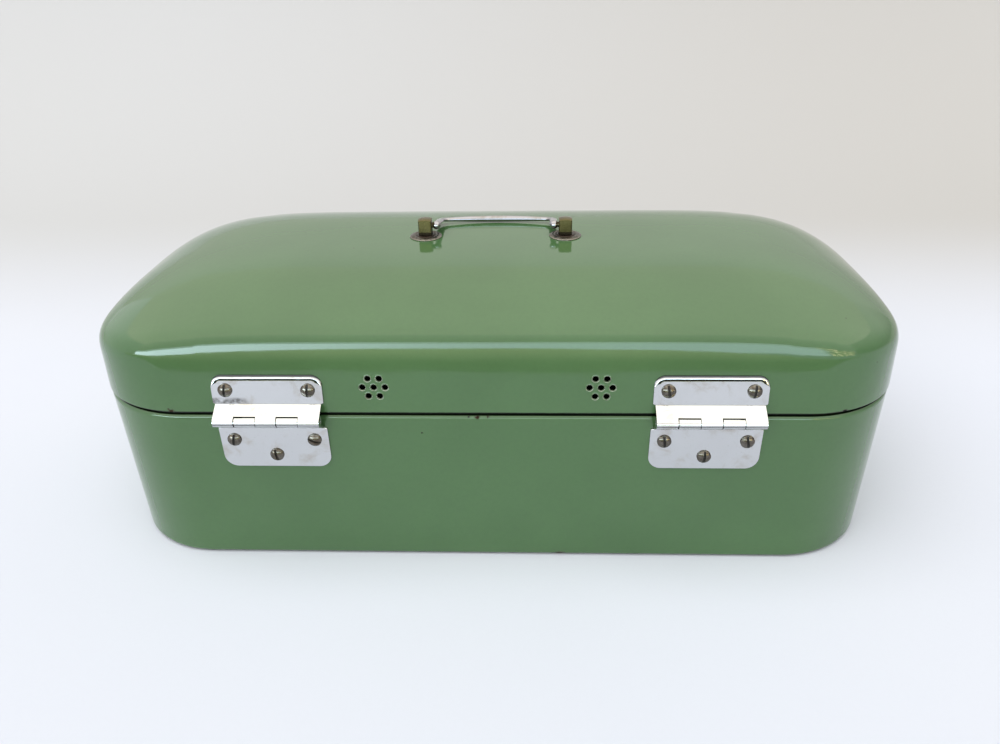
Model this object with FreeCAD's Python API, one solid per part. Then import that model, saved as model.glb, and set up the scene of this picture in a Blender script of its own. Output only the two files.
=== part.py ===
# Enamelled steel bread box with a hinged, crowned lid, a bail handle on the lid,
# two cranked butt hinges at the back and a swinging hasp at the front.
# Millimetres, +Z up. The origin is the middle of the flat underside.
# The hinges are at +Y, the hasp is at -Y, and X runs along the length.
import FreeCAD, Part
import math, os
from FreeCAD import Vector as V

os.makedirs("parts", exist_ok=True)

# ---------------------------------------------------------------- driving dimensions
A = 220.0            # half length of the lid at its rim
B = 102.9            # half depth of the lid at its rim
R_RIM = 58.0         # plan corner radius of the lid at its rim
Z_RIM = 96.6         # lower edge of the lid
Z_REF = 96.06        # height at which A and B are measured
LEAN_LID = 0.100     # the lid walls lean in by this per mm of height
LEAN_BASE = 0.0174   # the base walls lean in by this per mm of depth
R_SHOULDER = 14.5    # fillet between the lid walls and the crown
Z_CROWN = 155.8      # top of the crown
SAG_X, POW_X = 27.5, 7.6    # crown drop towards the ends
SAG_Y, POW_Y = 19.8, 3.0   # crown drop towards front and back
R_TOP = 43.0         # plan corner radius where the lid walls would reach Z_LOFT
Z_LOFT = 170.0
T = 1.2              # sheet thickness with its enamel
BASE_IN = 0.46       # the base is this much smaller than the lid all round
Z_LEDGE = 96.0       # shoulder of the base, just under the lid's edge
NECK_IN = 2.2        # neck set in from the base's outside
Z_NECK = 102.8       # top of the neck
R_FOOT = 3.2         # bottom edge radius of the base
R_LEDGE = 1.6        # rounding of the shoulder

# hinges
OFF = 1.3             # the fittings on the back sit a little off the middle
HX = 112.5           # hinge centre from the middle
LEAF_W = 57.6        # width of the flat leaves
BARREL_W = 54.8      # width of the cranked part and its five knuckles
LEAF_T = 1.4
LEAF_TOP, LEAF_BEND_U = 117.3, 101.9
LEAF_BEND_L, LEAF_BOT = 86.9, 62.6
R_LEAF_U, R_LEAF_L = 6.0, 7.0
AX_O, AX_Z = 7.0, 94.65      # pin axis, out from Y = B and up
R_BARREL, R_PIN, R_RUN = 2.9, 1.5, 1.55
KNUCKLE_GAP = 0.16
CLEAR = 0.03         # cranked parts stay this far off the enamel
SX, SZ_U, SZ_L, SZ_M = 21.3, 109.3, 79.9, 70.5   # screw positions on the leaves

# screws: M4, slotted, round headed
HEAD_R, HEAD_H, SHANK_R, HOLE_R = 3.95, 2.2, 2.0, 2.1
SHANK_L = 8.2
NUT_AF, NUT_T = 7.0, 3.2
SLOT_W, SLOT_D = 1.0, 1.1

# vents
VENT_X, VENT_Z, VENT_R = 57.6, 110.3, 1.5
VENT_P, VENT_ROW = 5.8, 4.8

# handle
PX = 41.1            # post centre
POST_W, POST_TOP = 7.6, 166.9
Z_SEAT = 157.3       # top of the dished washer, where the post stands
Z_BAIL = 162.7       # bail pivot height
R_TRUN, R_TRUN_HOLE = 1.6, 1.66
POST_SHANK_R = 2.4
BAIL_R = 2.0
BAIL_X = 34.5        # arm centre line
BAIL_REACH = 28.0
BAIL_BOW_R = 146.6
BAIL_CORNER = 5.0
BAIL_DROP = 10.3     # degrees below level where the bail lies on the lid

# hasp at the front
LW, L_TOP, L_BEND = 40.0, 117.0, 102.3
L_AX_O, L_AX_Z, L_BARREL, L_PIN, L_RUN = 3.4, 99.4, 2.1, 1.0, 1.05
L_SPAN, L_MID = 36.0, 16.0
HASP_W, HASP_BOT = 20.0, 73.0
CATCH_W, CATCH_TOP, CATCH_BOT = 38.0, 91.5, 67.0
LSX, LSZ_U, LSZ_L = 13.0, 110.2, 78.0
L_HEAD_R, L_HEAD_H, L_SHANK_R, L_HOLE_R = 2.9, 1.7, 1.5, 1.6


# ---------------------------------------------------------------- helpers
def save(shape, name):
    assert shape.isValid(), name
    shape.exportStep("parts/%s.step" % name)
    print("%-26s solids %d  volume %.1f" % (name, len(shape.Solids), shape.Volume))


def rr(a, b, r, z):
    """Rounded rectangle wire, half sizes a and b, corner radius r, at height z."""
    k = r * math.sqrt(0.5)
    e = []
    for sx, sy, nx, ny in ((1, 1, -1, 1), (-1, 1, -1, -1), (-1, -1, 1, -1), (1, -1, 1, 1)):
        cx, cy = sx * (a - r), sy * (b - r)
        if sx == sy:
            p1, p2 = V(cx + sx * r, cy, z), V(cx, cy + sy * r, z)
        else:
            p1, p2 = V(cx, cy + sy * r, z), V(cx + sx * r, cy, z)
        e.append(Part.Arc(p1, V(cx + sx * k, cy + sy * k, z), p2).toShape())
    out = []
    for i in range(4):
        out.append(e[i])
        q1 = e[i].Vertexes[-1].Point
        q2 = e[(i + 1) % 4].Vertexes[0].Point
        out.append(Part.makeLine(q1, q2))
    return Part.Wire(Part.__sortEdges__(out))


def loft(w1, w2):
    return Part.makeLoft([w1, w2], True, True)


def prism(a, b, r, z0, z1):
    return Part.Face(rr(a, b, r, z0)).extrude(V(0, 0, z1 - z0))


def crown(dz):
    """Solid under the crowned surface, lowered by dz."""
    nx, ny, hx, hy = 45, 31, 236.0, 118.0
    rows = []
    for i in range(nx):
        x = -hx + 2 * hx * i / (nx - 1)
        row = []
        for j in range(ny):
            y = -hy + 2 * hy * j / (ny - 1)
            z = Z_CROWN - dz - SAG_X * abs(x / A) ** POW_X - SAG_Y * abs(y / B) ** POW_Y
            row.append(V(x, y, z))
        rows.append(row)
    s = Part.BSplineSurface()
    s.interpolate(rows)
    return s.toShape().extrude(V(0, 0, -90))


def lid_body(inset, dz, z0, rf):
    """Leaning rounded walls, crowned and filleted: the outside or inside of the lid."""
    def half(z):
        return inset + LEAN_LID * (z - Z_REF)
    def rad(z):
        return R_RIM - (R_RIM - R_TOP) * (z - Z_REF) / (Z_LOFT - Z_REF) - inset
    w1 = rr(A - half(z0), B - half(z0), rad(z0), z0)
    w2 = rr(A - half(Z_LOFT), B - half(Z_LOFT), rad(Z_LOFT), Z_LOFT)
    body = loft(w1, w2).common(crown(dz))
    body = body.Solids[0]
    edges = [e for e in body.Edges if e.BoundBox.ZMin > z0 + 20]
    return body.makeFillet(rf, edges)


def yz(points, w, x0=None):
    """Extrude a closed YZ outline to a width w about X = 0 (or from x0)."""
    x = -w / 2.0 if x0 is None else x0
    p = [V(x, o, z) for o, z in points]
    return Part.Face(Part.makePolygon(p + [p[0]])).extrude(V(w, 0, 0))


def cyl_x(o, z, r, w, x0=None):
    x = -w / 2.0 if x0 is None else x0
    return Part.makeCylinder(r, w, V(x, o, z), V(1, 0, 0))


def rounded_plate(w, z0, z1, t, r_top, r_bot):
    """Plate in XZ, from Y = 0 outward to Y = t, with rounded top or bottom corners."""
    p = Part.makeBox(w, t, z1 - z0, V(-w / 2.0, 0, z0))
    for r, z in ((r_top, z1), (r_bot, z0)):
        if r:
            es = [e for e in p.Edges if e.BoundBox.YLength > t * 0.9
                  and e.BoundBox.XLength < 0.01 and e.BoundBox.ZLength < 0.01
                  and abs(e.BoundBox.ZMin - z) < 0.01]
            p = p.makeFillet(r, es)
    return p


UP = math.degrees(math.atan(LEAN_LID))
DN = -math.degrees(math.atan(LEAN_BASE))


def on_lid(s):
    """Stand a shape drawn against Y = 0 onto the back wall of the lid."""
    s = s.copy()
    s.rotate(V(0, 0, Z_REF), V(1, 0, 0), UP)
    s.translate(V(0, B, 0))
    return s


def on_base(s):
    """Stand a shape drawn against Y = 0 onto the back wall of the base."""
    s = s.copy()
    s.rotate(V(0, 0, Z_REF), V(1, 0, 0), DN)
    s.translate(V(0, B - BASE_IN, 0))
    return s


def to_front(s):
    s = s.copy()
    s.rotate(V(0, 0, 0), V(0, 0, 1), 180)
    return s


def at(s, x, y=0, z=0):
    s = s.copy()
    s.translate(V(x, y, z))
    return s


def tangent(px, pz, cx, cz, r, side):
    """Tangent point on a circle, seen from outside it; side +1 left, -1 right of the line."""
    dx, dz = cx - px, cz - pz
    d = math.hypot(dx, dz)
    a = math.atan2(dz, dx) + side * math.asin(r / d)
    l = math.sqrt(d * d - r * r)
    return (px + l * math.cos(a), pz + l * math.sin(a)), a


def screw(u, z, s, hr, hh, sr, sl, slot_w, slot_d, turn):
    """Round headed slotted screw whose head sits on Y = s; the shank runs inward."""
    head = Part.makeCylinder(hr, hh, V(0, 0, 0), V(0, 1, 0))
    rs = (hr * hr + (hh * 0.62) ** 2) / (2 * hh * 0.62)
    ball = Part.makeSphere(rs, V(0, hh - rs, 0))
    head = head.common(ball)
    slot = Part.makeBox(slot_w, slot_d + 1, 2 * hr + 2, V(-slot_w / 2.0, hh - slot_d, -hr - 1))
    slot.rotate(V(0, 0, 0), V(0, 1, 0), turn)
    head = head.cut(slot)
    shank = Part.makeCylinder(sr, sl, V(0, 0.2, 0), V(0, -1, 0))
    q = head.fuse(shank).removeSplitter()
    return at(q, u, s, z)


def hexagon(af, t, r, pos, axis):
    """Hexagon nut with its near face at pos, growing along axis."""
    c = af / math.sqrt(3.0)
    pts = [V(c * math.cos(math.radians(60 * i)), c * math.sin(math.radians(60 * i)), 0) for i in range(7)]
    h = Part.Face(Part.makePolygon(pts)).extrude(V(0, 0, t))
    h = h.common(Part.makeCone(c * 1.28, c * 0.86, t * 1.9, V(0, 0, -t * 0.05)))
    h = h.cut(Part.makeCylinder(r, t + 2, V(0, 0, -1)))
    h.Placement = FreeCAD.Placement(pos, FreeCAD.Rotation(V(0, 0, 1), axis))
    return h


# ---------------------------------------------------------------- shells
def base_half(z):
    return BASE_IN + LEAN_BASE * (Z_REF - z)


def base_body(inset, z0, z1, rf):
    h0, h1 = base_half(z0) + inset, base_half(z1) + inset
    s = loft(rr(A - h0, B - h0, R_RIM - h0, z0), rr(A - h1, B - h1, R_RIM - h1, z1)).Solids[0]
    edges = [e for e in s.Edges if e.BoundBox.ZMax < z0 + 0.01]
    return s.makeFillet(rf, edges)


tub = base_body(0.0, 0.0, Z_LEDGE, R_FOOT)
tub = tub.makeFillet(R_LEDGE, [e for e in tub.Edges if e.BoundBox.ZMin > Z_LEDGE - 0.01])
n_o = BASE_IN + NECK_IN
n_i = n_o + T
neck = prism(A - n_o, B - n_o, R_RIM - n_o, Z_LEDGE - 3.0, Z_NECK)
neck = neck.makeFillet(0.5, [e for e in neck.Edges if e.BoundBox.ZMin > Z_NECK - 0.01])
tub = tub.fuse(neck)
hollow = base_body(T, T, Z_LEDGE - 1.6, R_FOOT - T)
throat = prism(A - n_i, B - n_i, R_RIM - n_i, Z_LEDGE - 4.0, Z_NECK + 5.0)
tub = tub.cut(hollow.fuse(throat)).removeSplitter()

lid = lid_body(0.0, 0.0, Z_RIM, R_SHOULDER)
lid = lid.cut(lid_body(T, T, Z_RIM - 6.0, R_SHOULDER - T)).Solids[0]

# vents: six holes round a middle one, near each hinge
for sx in (-1, 1):
    for du, dz in ((0, 0), (-VENT_P, 0), (VENT_P, 0), (-VENT_P / 2, VENT_ROW), (VENT_P / 2, VENT_ROW),
                   (-VENT_P / 2, -VENT_ROW), (VENT_P / 2, -VENT_ROW)):
        c = Part.makeCylinder(VENT_R, 14, V(OFF + sx * VENT_X + du, -10, VENT_Z + dz), V(0, 1, 0))
        lid = lid.cut(on_lid(c))

# screw holes through the walls
for sx in (-1, 1):
    for du in (-SX, SX):
        lid = lid.cut(on_lid(Part.makeCylinder(HOLE_R, 14, V(OFF + sx * HX + du, -10, SZ_U), V(0, 1, 0))))
        tub = tub.cut(on_base(Part.makeCylinder(HOLE_R, 14, V(OFF + sx * HX + du, -10, SZ_L), V(0, 1, 0))))
    tub = tub.cut(on_base(Part.makeCylinder(HOLE_R, 14, V(OFF + sx * HX, -10, SZ_M), V(0, 1, 0))))
    lid = lid.cut(Part.makeCylinder(POST_SHANK_R + 0.15, 20, V(sx * PX, 0, Z_CROWN - 12)))
    lid = lid.cut(to_front(on_lid(Part.makeCylinder(L_HOLE_R, 14, V(sx * LSX, -10, LSZ_U), V(0, 1, 0)))))
    tub = tub.cut(to_front(on_base(Part.makeCylinder(L_HOLE_R, 14, V(sx * LSX, -10, LSZ_L), V(0, 1, 0)))))
save(tub, "base_tub")
save(lid, "lid_shell")

# ---------------------------------------------------------------- hinges
CX, CZ = B + AX_O, AX_Z
SEG = BARREL_W / 5.0
G = KNUCKLE_GAP / 2.0


def knuckle_space(zones, r):
    out = None
    for k in zones:
        x0 = -BARREL_W / 2.0 + k * SEG
        lo = x0 - (G if k else 3.0)
        hi = x0 + SEG + (G if k < 4 else 3.0)
        c = cyl_x(CX, CZ, r, hi - lo, lo)
        out = c if out is None else out.fuse(c)
    return out


def leaf(upper):
    wall = on_lid if upper else on_base
    if upper:
        flat = rounded_plate(LEAF_W, LEAF_BEND_U, LEAF_TOP, LEAF_T, R_LEAF_U, 0)
        es = [e for e in flat.Edges if e.BoundBox.YMin > LEAF_T - 0.01 and e.BoundBox.ZMax > LEAF_TOP - R_LEAF_U + 0.1
              and e.BoundBox.ZMin > LEAF_TOP - R_LEAF_U - 0.1]
        flat = flat.makeFillet(1.0, es)
        p = wall(Part.Vertex(0, LEAF_T, LEAF_BEND_U)).Point
        q = wall(Part.Vertex(0, 0, LEAF_BEND_U)).Point
        side = 1
    else:
        flat = rounded_plate(LEAF_W, LEAF_BOT, LEAF_BEND_L, LEAF_T, 0, R_LEAF_L)
        p = wall(Part.Vertex(0, LEAF_T, LEAF_BEND_L)).Point
        q = wall(Part.Vertex(0, 0, LEAF_BEND_L)).Point
        side = -1
    flat = wall(flat)
    (ty, tz), a = tangent(p.y, p.z, CX, CZ, R_BARREL, side)
    # inner face of the cranked part, parallel to the outer one
    nx, nz = (math.sin(a), -math.cos(a)) if upper else (-math.sin(a), math.cos(a))
    iy, iz = ty + nx * LEAF_T, tz + nz * LEAF_T
    # run the inner face back until it is just clear of the wall
    if upper:
        t = (iy - B + LEAN_LID * (iz - Z_REF) - CLEAR) / (math.cos(a) + LEAN_LID * math.sin(a))
    else:
        t = (iy - B + BASE_IN + LEAN_BASE * (Z_REF - iz) - CLEAR) / (math.cos(a) - LEAN_BASE * math.sin(a))
    jy, jz = iy - math.cos(a) * t, iz - math.sin(a) * t
    e = 0.3 if upper else -0.3
    crank = yz([(p.y, p.z), (ty, tz), (iy, iz), (jy, jz), (q.y + CLEAR, q.z + e), (p.y, p.z + e)], BARREL_W)
    s = flat.fuse(crank).fuse(cyl_x(CX, CZ, R_BARREL, BARREL_W)).removeSplitter()
    s = s.cut(knuckle_space((1, 3) if upper else (0, 2, 4), R_BARREL + 0.3))
    s = s.cut(cyl_x(CX, CZ, R_RUN if upper else R_PIN, BARREL_W + 10))
    holes = ((-SX, SZ_U), (SX, SZ_U)) if upper else ((-SX, SZ_L), (SX, SZ_L), (0, SZ_M))
    for u, z in holes:
        s = s.cut(wall(Part.makeCylinder(HOLE_R, 10, V(u, -5, z), V(0, 1, 0))))
    return s.removeSplitter()


up_leaf, low_leaf = leaf(True), leaf(False)
pin = cyl_x(CX, CZ, R_PIN, BARREL_W)
pin = pin.makeFillet(0.35, [e for e in pin.Edges if e.BoundBox.XLength < 0.01])
for sx, side in ((1, "right"), (-1, "left")):
    save(at(up_leaf, OFF + sx * HX), "hinge_%s_lid_leaf" % side)
    save(at(low_leaf, OFF + sx * HX), "hinge_%s_base_leaf" % side)
    save(at(pin, OFF + sx * HX), "hinge_%s_pin" % side)

lid_scr, lid_nut, base_scr, base_nut = [], [], [], []
turns = {(1, -1): 8, (1, 1): -4, (-1, -1): 3, (-1, 1): -6}
for sx in (-1, 1):
    for su in (-1, 1):
        u = OFF + sx * HX + su * SX
        lid_scr.append(on_lid(screw(u, SZ_U, LEAF_T, HEAD_R, HEAD_H, SHANK_R, SHANK_L, SLOT_W, SLOT_D, turns[(sx, su)])))
        lid_nut.append(on_lid(hexagon(NUT_AF, NUT_T, SHANK_R, V(u, -T - 0.05, SZ_U), V(0, -1, 0))))
        base_scr.append(on_base(screw(u, SZ_L, LEAF_T, HEAD_R, HEAD_H, SHANK_R, SHANK_L, SLOT_W, SLOT_D, 5 * su - 2)))
        base_nut.append(on_base(hexagon(NUT_AF, NUT_T, SHANK_R, V(u, -T - 0.05, SZ_L), V(0, -1, 0))))
    base_scr.append(on_base(screw(OFF + sx * HX, SZ_M, LEAF_T, HEAD_R, HEAD_H, SHANK_R, SHANK_L, SLOT_W, SLOT_D, 7 * sx)))
    base_nut.append(on_base(hexagon(NUT_AF, NUT_T, SHANK_R, V(OFF + sx * HX, -T - 0.05, SZ_M), V(0, -1, 0))))
save(Part.Compound(lid_scr), "hinge_lid_screws")
save(Part.Compound(lid_nut), "hinge_lid_nuts")
save(Part.Compound(base_scr), "hinge_base_screws")
save(Part.Compound(base_nut), "hinge_base_nuts")

# ---------------------------------------------------------------- handle
post = Part.makeBox(POST_W, POST_W, POST_TOP - Z_SEAT, V(-POST_W / 2, -POST_W / 2, Z_SEAT))
post = post.makeFillet(0.5, [e for e in post.Edges if e.BoundBox.ZLength > 2])
post = post.common(Part.makeSphere(15.0, V(0, 0, POST_TOP - 15.0)))
post = post.fuse(Part.makeCylinder(POST_SHANK_R, Z_SEAT - 148.2 + 1, V(0, 0, 148.2))).removeSplitter()
for sx, side in ((1, "right"), (-1, "left")):
    p = at(post, sx * PX)
    x0 = sx * (PX - POST_W / 2 - 1)
    hole = Part.makeCylinder(R_TRUN_HOLE, 6.6, V(x0, 0, Z_BAIL), V(sx, 0, 0))
    save(p.cut(hole), "handle_post_%s" % side)

zb = Z_CROWN + 0.05
prof = [V(POST_SHANK_R + 0.1, 0, zb + 0.5), V(POST_SHANK_R + 0.1, 0, Z_SEAT), V(5.3, 0, Z_SEAT),
        V(5.9, 0, Z_SEAT - 0.45), V(7.4, 0, Z_SEAT - 0.5), V(9.3, 0, zb + 0.75), V(9.5, 0, zb + 0.4), V(9.3, 0, zb),
        V(8.6, 0, zb), V(6.5, 0, zb + 0.5)]
dish = Part.Face(Part.makePolygon(prof + [prof[0]])).revolve(V(0, 0, 0), V(0, 0, 1), 360)
save(Part.Compound([at(dish, -PX), at(dish, PX)]), "handle_washers")
zi = Z_CROWN - T - 0.05
inner = Part.makeCylinder(8.0, 1.2, V(0, 0, zi - 1.2)).cut(Part.makeCylinder(POST_SHANK_R + 0.1, 3, V(0, 0, zi - 2)))
save(Part.Compound([at(inner, -PX), at(inner, PX)]), "handle_inner_washers")
save(Part.Compound([hexagon(8.0, 4.0, POST_SHANK_R, V(s * PX, 0, zi - 1.2), V(0, 0, -1)) for s in (-1, 1)]),
     "handle_nuts")

# bail, drawn level and pointing to -Y from its pivots, then dropped onto the lid
yc = -BAIL_REACH + BAIL_BOW_R
kx = BAIL_X - BAIL_CORNER
ky = yc - math.sqrt((BAIL_BOW_R - BAIL_CORNER) ** 2 - kx ** 2)
dl = BAIL_BOW_R - BAIL_CORNER
gx, gy = kx / dl * BAIL_BOW_R, yc + (ky - yc) / dl * BAIL_BOW_R
am = (math.atan2(gy - ky, gx - kx)) / 2.0
mx, my = kx + BAIL_CORNER * math.cos(am), ky + BAIL_CORNER * math.sin(am)
wire = Part.Wire([
    Part.makeLine(V(BAIL_X, 0, 0), V(BAIL_X, ky, 0)),
    Part.Arc(V(BAIL_X, ky, 0), V(mx, my, 0), V(gx, gy, 0)).toShape(),
    Part.Arc(V(gx, gy, 0), V(0, -BAIL_REACH, 0), V(-gx, gy, 0)).toShape(),
    Part.Arc(V(-gx, gy, 0), V(-mx, my, 0), V(-BAIL_X, ky, 0)).toShape(),
    Part.makeLine(V(-BAIL_X, ky, 0), V(-BAIL_X, 0, 0))])
sec = Part.Wire([Part.Circle(V(BAIL_X, 0, 0), V(0, 1, 0), BAIL_R).toShape()])
bail = wire.makePipeShell([sec], True, False)
for sx in (-1, 1):
    bail = bail.fuse(Part.makeSphere(2.5, V(sx * BAIL_X, 0, 0)))
    bail = bail.fuse(Part.makeCylinder(R_TRUN, PX - BAIL_X, V(sx * BAIL_X, 0, 0), V(sx, 0, 0)))
bail.rotate(V(0, 0, 0), V(1, 0, 0), BAIL_DROP)
bail = at(bail, 0, 0, Z_BAIL)
save(bail, "handle_bail")

# ---------------------------------------------------------------- hasp (drawn at the back, then turned to the front)
LX, LZ = B + L_AX_O, L_AX_Z


def lid_plate():
    flat = rounded_plate(LW, L_BEND, L_TOP, LEAF_T, 5.0, 0)
    flat = on_lid(flat)
    p = on_lid(Part.Vertex(0, LEAF_T, L_BEND)).Point
    q = on_lid(Part.Vertex(0, 0, L_BEND)).Point
    (ty, tz), a = tangent(p.y, p.z, LX, LZ, L_BARREL, 1)
    th = L_BARREL - L_RUN
    iy, iz = ty + math.sin(a) * th, tz - math.cos(a) * th
    wy = B - LEAN_LID * (iz + 0.1 - Z_REF) + CLEAR
    crank = yz([(p.y, p.z), (ty, tz), (iy, iz), (wy, iz + 0.1), (q.y + CLEAR, q.z + 0.3), (p.y, p.z + 0.3)], L_SPAN)
    s = flat.fuse(crank).fuse(cyl_x(LX, LZ, L_BARREL, L_SPAN)).removeSplitter()
    s = s.cut(cyl_x(LX, LZ, L_BARREL + 0.3, L_MID + 0.3))
    s = s.cut(cyl_x(LX, LZ, L_PIN, L_SPAN + 4))
    for u in (-LSX, LSX):
        s = s.cut(on_lid(Part.makeCylinder(L_HOLE_R, 10, V(u, -5, LSZ_U), V(0, 1, 0))))
    return s.removeSplitter()


def hasp():
    o1 = LX + L_BARREL
    th = 1.3
    neck_ = Part.makeBox(L_MID, th, L_AX_Z - 95.0, V(-L_MID / 2, o1 - th, 95.0))
    plate = Part.makeBox(HASP_W, th, 96.6 - HASP_BOT, V(-HASP_W / 2, o1 - th, HASP_BOT))
    lip = yz([(o1 - th, HASP_BOT + 0.01), (o1, HASP_BOT + 0.01), (o1 + 3.6, HASP_BOT - 3.2), (o1 + 2.9, HASP_BOT - 4.2)], HASP_W)
    s = cyl_x(LX, LZ, L_BARREL, L_MID).fuse(neck_).fuse(plate).fuse(lip)
    s = s.fuse(cyl_x(o1 - th, 84.2, 1.4, 12.0)).removeSplitter()
    s = s.cut(cyl_x(LX, LZ, L_RUN, 40))
    return s


def catch():
    s = on_base(rounded_plate(CATCH_W, CATCH_BOT, CATCH_TOP, LEAF_T, 4.0, 6.0))
    p = on_base(Part.Vertex(0, LEAF_T, 87.6)).Point
    s = s.fuse(cyl_x(p.y, 87.6, 1.85, 18.0)).removeSplitter()
    s = s.common(Part.makeBox(80, 12, 60, V(-40, p.y - LEAF_T - 0.02, 50)))
    cut = on_base(Part.makeBox(80, 6, 60, V(-40, -6.0, 50)))
    s = s.cut(cut)
    for u in (-LSX, LSX):
        s = s.cut(on_base(Part.makeCylinder(L_HOLE_R, 10, V(u, -5, LSZ_L), V(0, 1, 0))))
    return s


save(to_front(lid_plate()), "latch_lid_plate")
save(to_front(hasp()), "latch_hasp")
save(to_front(catch()), "latch_catch_plate")
lp = cyl_x(LX, LZ, L_PIN, L_SPAN)
save(to_front(lp.makeFillet(0.25, [e for e in lp.Edges if e.BoundBox.XLength < 0.01])), "latch_pin")
a1, a2, b1, b2 = [], [], [], []
for su in (-1, 1):
    a1.append(to_front(on_lid(screw(su * LSX, LSZ_U, LEAF_T, L_HEAD_R, L_HEAD_H, L_SHANK_R, 6.6, 0.8, 0.8, 12 * su))))
    a2.append(to_front(on_lid(hexagon(5.5, 2.4, L_SHANK_R, V(su * LSX, -T - 0.05, LSZ_U), V(0, -1, 0)))))
    b1.append(to_front(on_base(screw(su * LSX, LSZ_L, LEAF_T, L_HEAD_R, L_HEAD_H, L_SHANK_R, 6.6, 0.8, 0.8, -9 * su))))
    b2.append(to_front(on_base(hexagon(5.5, 2.4, L_SHANK_R, V(su * LSX, -T - 0.05, LSZ_L), V(0, -1, 0)))))
save(Part.Compound(a1), "latch_lid_screws")
save(Part.Compound(a2), "latch_lid_nuts")
save(Part.Compound(b1), "latch_catch_screws")
save(Part.Compound(b2), "latch_catch_nuts")
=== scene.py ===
import math
import bpy, bmesh
import numpy as np
from mathutils import Vector, Matrix
from mathutils.geometry import delaunay_2d_cdt


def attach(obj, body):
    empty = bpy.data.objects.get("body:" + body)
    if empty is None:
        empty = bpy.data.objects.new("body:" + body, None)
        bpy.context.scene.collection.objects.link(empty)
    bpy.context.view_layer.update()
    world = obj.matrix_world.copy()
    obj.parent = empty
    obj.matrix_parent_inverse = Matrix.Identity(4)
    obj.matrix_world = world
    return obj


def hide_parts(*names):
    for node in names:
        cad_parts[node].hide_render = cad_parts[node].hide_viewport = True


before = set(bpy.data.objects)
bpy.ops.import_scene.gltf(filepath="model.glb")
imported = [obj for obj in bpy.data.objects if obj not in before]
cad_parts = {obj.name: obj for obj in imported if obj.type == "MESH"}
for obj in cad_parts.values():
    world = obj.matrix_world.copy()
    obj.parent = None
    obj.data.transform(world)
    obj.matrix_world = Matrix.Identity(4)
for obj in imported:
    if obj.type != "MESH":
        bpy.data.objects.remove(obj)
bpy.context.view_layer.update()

MM = 0.001
scene = bpy.context.scene

# ------------------------------------------------------------------ sizes shared with the CAD, mm
A, B, RR, ZR = 220.0, 102.9, 58.0, 96.06
T = 1.2
LEAN_LID, LEAN_BASE, BASE_IN = 0.100, 0.0174, 0.46
UP, DN = math.atan(LEAN_LID), -math.atan(LEAN_BASE)
OFF = 1.3
HX, SX, SZ_U, SZ_L, SZ_M = 112.5, 21.3, 109.3, 79.9, 70.5
BARREL_W, LEAF_W, LEAF_T = 54.8, 57.6, 1.4
CX, CZ, R_BARREL, R_PIN = B + 7.0, 94.65, 2.9, 1.5
VENT_X, VENT_Z, VENT_P, VENT_ROW = 57.6, 110.3, 5.8, 4.8
PX, Z_SEAT, POST_TOP, Z_BAIL = 41.1, 157.3, 166.9, 162.7
LX, LZ, L_BARREL, L_PIN = B + 3.4, 99.4, 2.1, 1.0
LSX, LSZ_U, LSZ_L = 13.0, 110.2, 78.0


# ------------------------------------------------------------------ mesh helpers
def new_object(name, me):
    o = bpy.data.objects.new(name, me)
    scene.collection.objects.link(o)
    return o


def mesh_of(verts, faces, name="m", weld=0.0):
    """A mesh in metres from points in mm, welded and with its faces turned outward."""
    me = bpy.data.meshes.new(name)
    me.from_pydata([tuple(float(c) * MM for c in v) for v in verts], [], faces)
    bm = bmesh.new()
    bm.from_mesh(me)
    if weld:
        bmesh.ops.remove_doubles(bm, verts=bm.verts, dist=weld * MM)
    bmesh.ops.recalc_face_normals(bm, faces=bm.faces)
    bm.to_mesh(me)
    bm.free()
    return me


def prism(points, axis, lo, hi):
    """Closed prism on an outline. axis 0: outline is (y, z); 1: (x, z); 2: (x, y)."""
    n = len(points)
    def put(p, t):
        if axis == 0:
            return (t, p[0], p[1])
        if axis == 1:
            return (p[0], t, p[1])
        return (p[0], p[1], t)
    v = [put(p, lo) for p in points] + [put(p, hi) for p in points]
    f = [list(range(n)), list(range(n, 2 * n))[::-1]]
    for i in range(n):
        j = (i + 1) % n
        f.append([i, j, n + j, n + i])
    return mesh_of(v, f)


def loft(rings, close=True):
    """Rings of equal length joined into one skin, with capped ends."""
    n = len(rings[0])
    v, f = [], []
    for r in rings:
        v += [tuple(p) for p in r]
    for k in range(len(rings) - 1):
        for i in range(n):
            j = (i + 1) % n
            f.append([k * n + i, k * n + j, (k + 1) * n + j, (k + 1) * n + i])
    if close:
        f.append(list(range(n)))
        f.append(list(range((len(rings) - 1) * n, len(rings) * n))[::-1])
    return mesh_of(v, f)


def revolve(profile, seg=64, closed=False):
    """Profile of (r, h) turned about the h axis. Ends on the axis are poles; closed joins last to first."""
    v, f, rows = [], [], []
    for r, h in profile:
        if r < 1e-6:
            rows.append([len(v)])
            v.append((0, 0, h))
        else:
            rows.append(list(range(len(v), len(v) + seg)))
            v += [(r * math.cos(2 * math.pi * i / seg), r * math.sin(2 * math.pi * i / seg), h) for i in range(seg)]
    pairs = list(zip(rows, rows[1:])) + ([(rows[-1], rows[0])] if closed else [])
    for a, b in pairs:
        for i in range(seg):
            j = (i + 1) % seg
            if len(a) == 1 and len(b) == 1:
                continue
            if len(a) == 1:
                f.append([a[0], b[j], b[i]])
            elif len(b) == 1:
                f.append([a[i], a[j], b[0]])
            else:
                f.append([a[i], a[j], b[j], b[i]])
    return mesh_of(v, f)


def moved(me, m):
    me.transform(m)
    if m.determinant() < 0:
        me.flip_normals()
    return me


def shift(me, x=0, y=0, z=0):
    return moved(me, Matrix.Translation((x * MM, y * MM, z * MM)))


def stand(axis):
    """Turns the Z axis of a mesh onto another axis."""
    return Vector((0, 0, 1)).rotation_difference(Vector(axis)).to_matrix().to_4x4()


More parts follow.
